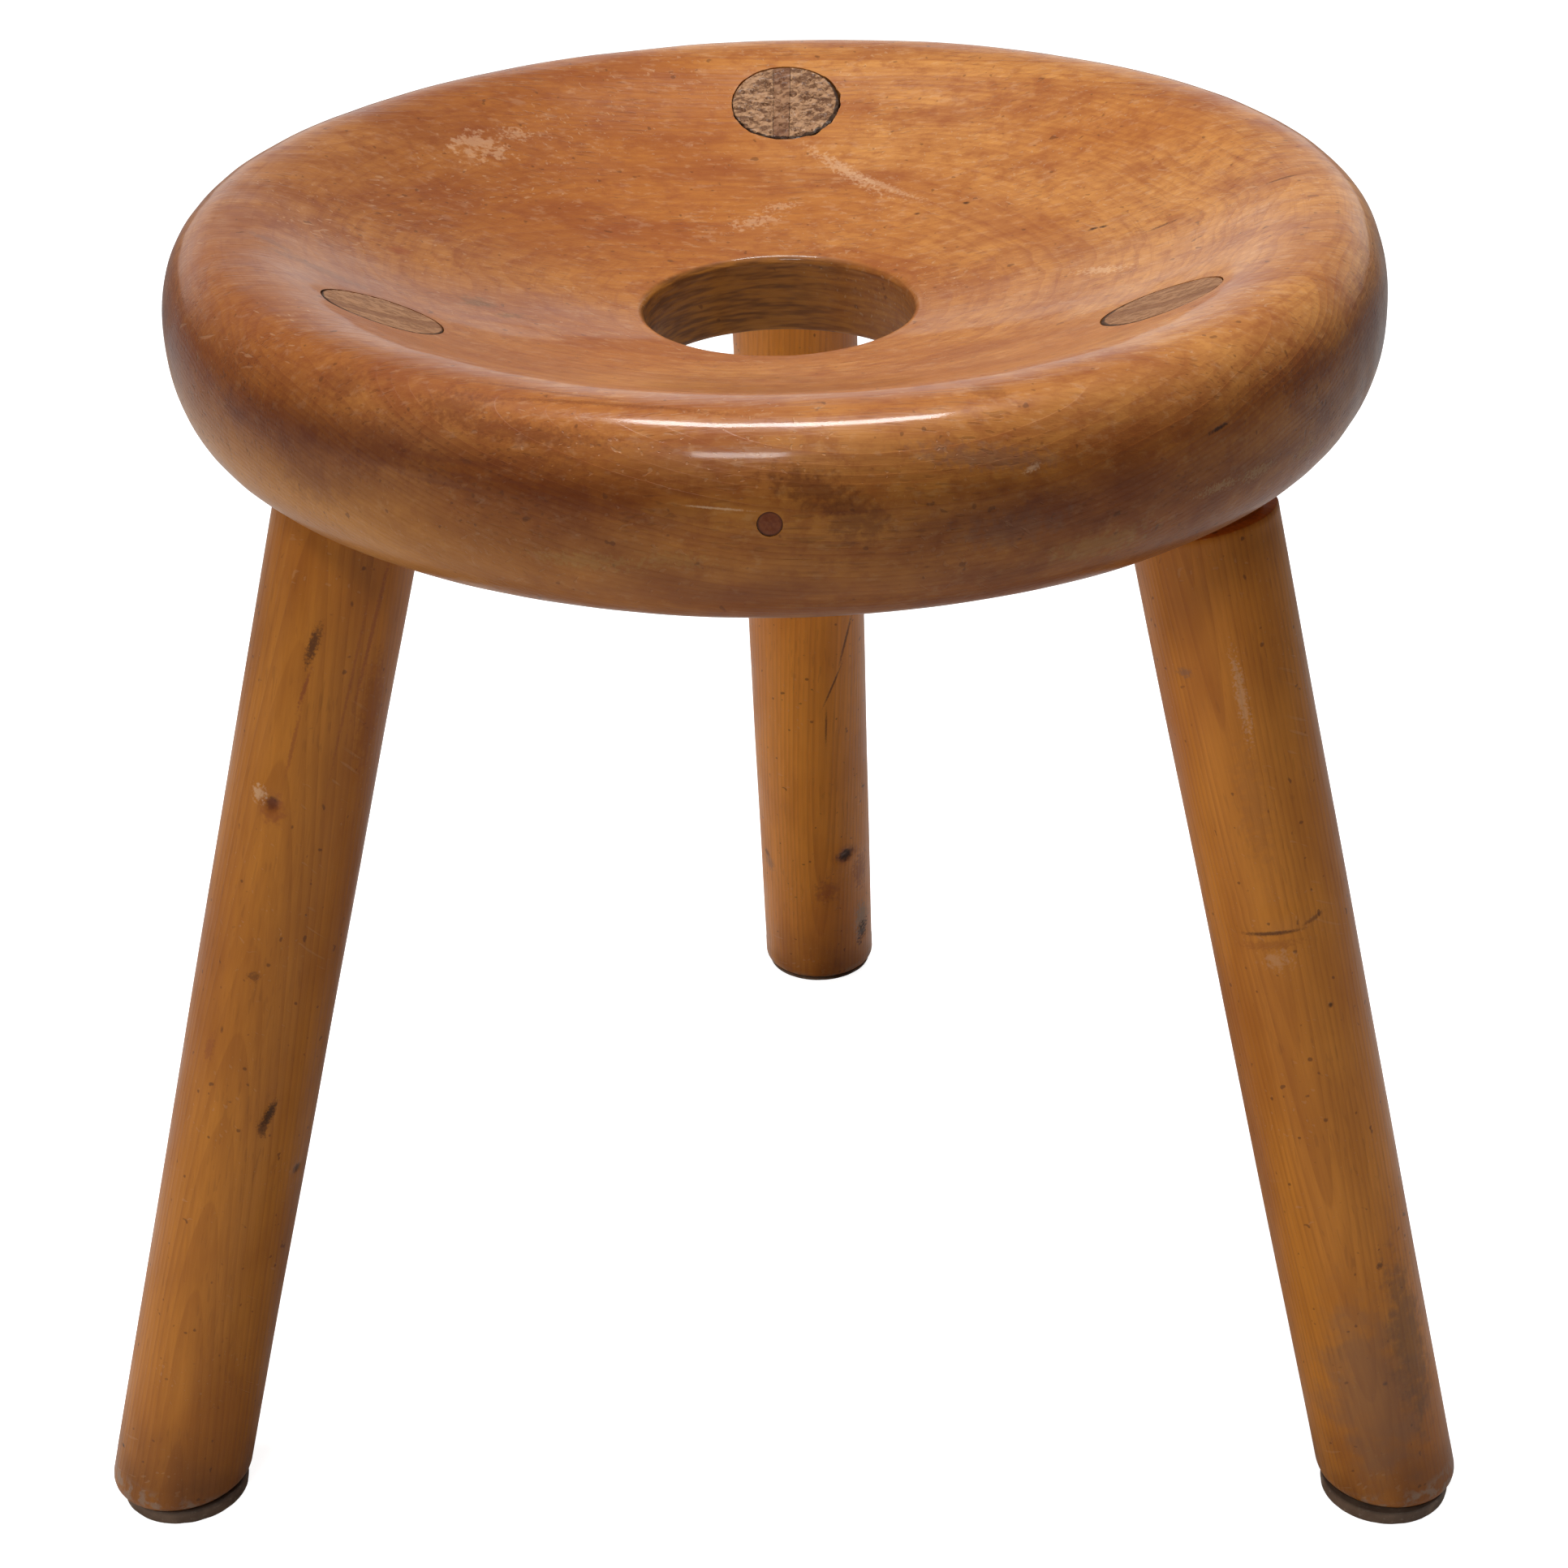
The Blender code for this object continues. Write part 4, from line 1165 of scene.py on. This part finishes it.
LEG_MARKS = {
    "rear": [
        ((15.0, -16, 186), (0.7, 8, 16), (0, 14, 0), 0.5, DARK_BROWN, 0.8, -0.5, 0.1),
        ((9.6, -20, 166), (0.6, 8, 14), (0, 22, 0), 0.5, DARK_BROWN, 0.8, -0.5, 0.1),
        ((6.6, -21, 146), (0.6, 8, 12), (0, 2, 0), 0.5, DARK_BROWN, 0.65, -0.4, 0.1),
        ((12.3, -18, 75.3), (6.4, 8, 6.4), (0, 0, 0), 0.5, RED_BROWN, 0.7),
        ((12.3, -18, 75.3), (4.1, 8, 4.2), (0, 0, 0), 0.6, NEAR_BLACK, 0.9, -0.6, 0.2),
        ((11.6, -18, 76.0), (1.5, 7, 1.1), (0, 0, 0), 0.3, GREY_BROWN, 0.8, 0.5, 0.1),
        ((5, -21, 58), (7, 6, 8), (0, 0, 0), 1.0, RED_BROWN, 0.5),
        ((18, -12, 62), (4, 8, 14), (0, 0, 0), 1.2, RED_BROWN, 0.55),
        ((18, -12, 34), (4, 9, 12), (0, 0, 0), 1.0, DUSTY, 0.7, 0, 0.2),
        ((18, -12, 26), (2.8, 9, 7), (0, 8, 0), 1.5, NEAR_BLACK, 0.85, -0.5, 0.1),
        ((-19, -11, 70), (1.4, 6, 2.5), (0, 0, 0), 0.6, DARK_BROWN, 0.6),
        ((-18, -12, 66), (2.6, 7, 5), (0, 0, 0), 1.0, GREY_BROWN, 0.4),
    ],
    "left": [
        ((-5.1, -21, 260), (2.6, 6, 3.2), (0, 0, 0), 0.4, NEAR_BLACK, 0.95, -0.8, 0.1),
        ((-5.0, -21, 258), (4.8, 7, 6.4), (0, 0, 0), 0.8, RED_BROWN, 0.6),
        ((-9.8, -19.5, 262), (3.0, 6, 3.5), (0, 0, 0), 1.3, BLEACHED, 0.55, 0.2, 0.1),
        ((-1.3, -22, 312), (2.1, 6, 9), (0, 8, 0), 0.9, DARK_BROWN, 0.85, -0.2, 0.1),
        ((-1.7, -22, 298), (0.8, 6, 9), (0, 8, 0), 0.9, RED_BROWN, 0.75, -0.2, 0.1),
        ((-2.2, -22, 280), (0.8, 6, 14), (0, 3, 0), 0.9, RED_BROWN, 0.5),
        ((-2.0, -22, 203), (2.4, 6, 2.2), (0, 0, 0), 1.1, DARK_BROWN, 0.55),
        ((-11.9, -18, 174), (1.6, 6, 7), (0, 5, 0), 1.1, RED_BROWN, 0.5),
        ((9.5, -19.7, 156), (1.9, 6, 7), (0, 14, 0), 0.8, NEAR_BLACK, 0.85, -0.7, 0.2),
        ((8.2, -20, 151), (2.0, 6, 4.2), (0, -10, 0), 1.0, DARK_BROWN, 0.7, -0.3, 0.2),
        ((19.9, -9, 133), (1.3, 6, 2.4), (0, 0, 0), 0.5, NEAR_BLACK, 0.75, -0.4, 0),
        ((17.4, -13, 291), (4.5, 8, 26), (0, 0, 0), 0.9, LEG_RED, 0.5),
        ((14.2, -16, 318), (0.8, 8, 36), (0, 3, 0), 0.8, RED_BROWN, 0.6),
        ((10.8, -19, 300), (0.6, 8, 40), (0, 2, 0), 0.8, RED_BROWN, 0.45),
        ((-19, -11, 19), (0.8, 6, 0.8), (0, 0, 0), 0.2, NEAR_BLACK, 0.9, -0.4, 0),
        ((-9, -19, 182), (0.6, 6, 1.6), (0, 0, 0), 0.4, DARK_BROWN, 0.6),
    ],
    "right": [
        ((-4.0, -21, 214.8), (12.5, 9, 1.0), (0, 3, 0), 0.5, DARK_BROWN, 0.8, -0.4, 0),
        ((9.0, -20, 216.5), (5, 9, 1.0), (0, -16, 0), 0.6, DARK_BROWN, 0.55, -0.2, 0),
        ((-5, -21, 211), (12, 9, 2.2), (0, 2, 0), 1.1, LEG_RED, 0.4),
        ((-4, -21, 206), (5, 8, 4), (0, 0, 0), 1.5, BLEACHED, 0.25),
        ((9.2, -20, 187), (1.0, 6, 1.3), (0, 20, 0), 0.4, NEAR_BLACK, 0.8, -0.4, 0),
        ((9.2, -20, 94), (1.6, 6, 1.8), (0, 30, 0), 0.6, DARK_BROWN, 0.75, -0.3, 0),
        ((4, -20, 52), (1.1, 6, 1.2), (0, 0, 0), 0.4, DARK_BROWN, 0.75, -0.3, 0),
        ((0.4, -22, 291), (2.0, 6, 16), (0, 0, 0), 1.6, BLEACHED, 0.35, 0, 0.1),
        ((-2, -22, 258), (6, 7, 26), (0, 0, 0), 1.1, (0.42, 0.15, 0.032), 0.45),
        ((0, -22, 48), (24, 24, 46), (0, 0, 0), 0.6, GREY_BROWN, 0.50, 0, 0.1),
        ((14, -16, 62), (9, 12, 44), (0, 0, 0), 0.8, (0.10, 0.066, 0.045), 0.50, 0, 0.1),
        ((-14, -16, 300), (3, 6, 2), (0, 0, 0), 0.9, GREY_BROWN, 0.5),
    ],
}


DARKER_FOOT = (0.006, 0.045)
DUSTY_EDGE = (0.007, 0.012)
TENON_END = (0.365, 0.368)
ROUND_TENON = (0.0172, 0.0178)


def leg_finish(side, name, end_only=False):
    """A leg's wood. end_only gives the wedge, which shows nothing but worn end grain."""
    look, tree, surface, place = new_look(name, leg_places[side])
    facts = LEG_LOOKS[side]
    upright = add(tree, "Mapping", {
        "Vector": place, "Location": facts["pith"],
        "Rotation": (radians(facts["lean"][0]), radians(90 + facts["lean"][1]), 0)}).outputs[0]
    rings = use(tree, RINGS, {"Vector": upright, "Ring Width": facts["ring"], "Wander": 0.012})
    fibre = use(tree, FIBRES, {"Vector": upright, "Fineness": 1.15})
    worn = use(tree, WEAR, {"Vector": place, "Amount": 1.0})
    parts = add(tree, "SeparateXYZ", {0: place}).outputs
    tone = cloud(tree, place, 26.0 + 3 * SIDES.index(side), squeeze=(1, 1, 0.35))
    colour = mix(tree, between(tree, tone, 0.36, 0.66), (*LEG_PALE, 1), (*LEG_DEEP, 1))
    colour = tint(tree, colour, rings["Late Wood"], 0.30, LEG_RED)
    colour = tint(tree, colour, fibre["Streaks"], 0.22, LEG_RED)
    colour = tint(tree, colour, fibre["Pores"], 0.15, DARK_BROWN)
    # painted light: the rear leg's high tone brightens it as if lit under the seat
    colour = mix(tree, 1.0, colour, (facts["tone"], facts["tone"], facts["tone"], 1), "MULTIPLY")
    height = times(tree, rings["Late Wood"], 0.25)
    height = sink(tree, height, fibre["Streaks"], 0.25)
    height = sink(tree, height, worn["Scratches"], 0.4)
    gloss = plus(tree, times(tree, worn["Rubbed"], 0.12), 0.33)
    if not end_only:
        # darker towards the floor, in patches
        near_floor = between(tree, parts[2], *DARKER_FOOT, 1.0, 0.0)
        darker_foot = times(tree, near_floor, cloud(tree, place, 60.0, 4.0))
        colour = tint(tree, colour, darker_foot, 0.9, DARK_BROWN)
        broken = between(tree, cloud(tree, place, 240.0, 3.0), 0.45, 0.6)
        dusty_edge = times(tree, between(tree, parts[2], *DUSTY_EDGE, 1.0, 0.0), broken)
        colour = tint(tree, colour, dusty_edge, 0.55, DUSTY)
        colour = tint(tree, colour, worn["Specks"], 0.6, DARK_BROWN)
        colour = tint(tree, colour, worn["Scratches"], 0.12, BLEACHED)
        colour, height, gloss = paint_marks(tree, place, colour, height, gloss, LEG_MARKS[side])
    # the worn end of the tenon
    end = between(tree, parts[2], *TENON_END)
    crumbs = cloud(tree, place, 560.0, 4.0, 0.68, squeeze=(0.62, 1, 0.05))
    shadow = between(tree, crumbs, 0.38, 0.56)
    pale = mix(tree, shadow, (*END_DARK, 1), (*END_PALE, 1))
    smooth = mix(tree, cloud(tree, place, 130.0, 3.0), (0.22, 0.095, 0.040, 1), (0.36, 0.165, 0.072, 1))
    pale = mix(tree, facts["end"], smooth, pale)
    pale = mix(tree, times(tree, rings["Late Wood"], 0.35), pale, (*END_DARK, 1))
    if end_only:
        pale = mix(tree, 0.80 - 0.42 * facts["end"], pale, (0.19, 0.078, 0.036, 1))
        tips = between(tree, sums(tree, "ABSOLUTE", parts[1]), 0.005, 0.014, 0.0, facts["end"])
        pale = mix(tree, times(tree, tips, 0.5), pale, (0.15, 0.058, 0.032, 1))
    colour = mix(tree, end, colour, pale)
    height = plus(tree, height, times(tree, times(tree, end, shadow), 2.2 * facts["end"]))
    gloss = plus(tree, gloss, times(tree, end, 0.22))
    # painted shade of the gap round the tenon, blackest where the gap opened
    out = off_axis(tree, place)
    out = plus(tree, out, times(tree, cloud(tree, place, 300.0, 3.0), 0.0008))
    opened = add(tree, "VectorMath", {0: place, 1: facts["opened"]}, operation="DOT_PRODUCT")
    out = plus(tree, out, opened.outputs["Value"])
    dirt_and_gap_shade = between(tree, out, *ROUND_TENON, 0.0, 0.9)
    colour = mix(tree, times(tree, dirt_and_gap_shade, end), colour, (*NEAR_BLACK, 1))
    join_look(tree, surface, colour, gloss, height, 0.55, 0.0003)
    varnish(surface, 0.10, 0.20, 0.14)
    return look


for side in SIDES:
    finish_piece(legs[side], f"leg_{side}", leg_finish(side, f"leg_wood_{side}"))
    finish_piece(wedges[side], f"wedge_{side}", leg_finish(side, f"wedge_wood_{side}", True))

# %% [markdown]
# ## Pads and plug
# The rubber has greyed and picked up floor dust, so it is matte and speckled, and darker towards its top,
# where the leg stands on it. The plug is a darker wood than the seat and shows its own end grain.

# %% Finish the pads and the plug
def pad_finish():
    look, tree, surface, place = new_look("pad_rubber_worn", Matrix())
    dust = cloud(tree, place, 420.0, 4.0, 0.65)
    patch = cloud(tree, place, 90.0, 3.0)
    parts = add(tree, "SeparateXYZ", {0: place}).outputs
    colour = mix(tree, between(tree, patch, 0.35, 0.65), (0.120, 0.070, 0.042, 1), (0.20, 0.125, 0.078, 1))
    colour = tint(tree, colour, between(tree, dust, 0.55, 0.68), 0.45, DUSTY)
    # darker towards the pad's top, where the leg stands on it
    darker_top = times(tree, between(tree, parts[2], 0.0036, 0.0048), 0.5)
    colour = mix(tree, darker_top, colour, (0.018, 0.012, 0.010, 1))
    gloss = plus(tree, times(tree, patch, 0.2), 0.62)
    join_look(tree, surface, colour, gloss, dust, 0.6, 0.0003)
    return look


def plug_finish():
    look, tree, surface, place = new_look("plug_wood_worn", plug_place)
    grain = cloud(tree, place, 700.0, 3.0, 0.6, squeeze=(1, 1, 0.05))
    colour = mix(tree, between(tree, grain, 0.36, 0.64), (0.165, 0.036, 0.009, 1), (0.215, 0.056, 0.015, 1))
    edge = off_axis(tree, place)
    colour = mix(tree, between(tree, edge, 0.0026, 0.0031, 0.0, 0.5), colour, (*NEAR_BLACK, 1))
    gloss = plus(tree, times(tree, grain, 0.15), 0.34)
    join_look(tree, surface, colour, gloss, grain, 0.4, 0.0002)
    varnish(surface, 0.15, 0.20, 0.25)
    return look


rubber = pad_finish()
for side in SIDES:
    finish_piece(pads[side], f"foot_pad_{side}", rubber)
finish_piece(plug, "rim_plug", plug_finish())

# %% [markdown]
# ## The size
# The dressed stool must be as big as the imported one, so its box is measured.

# %% Measure the size
low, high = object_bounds()
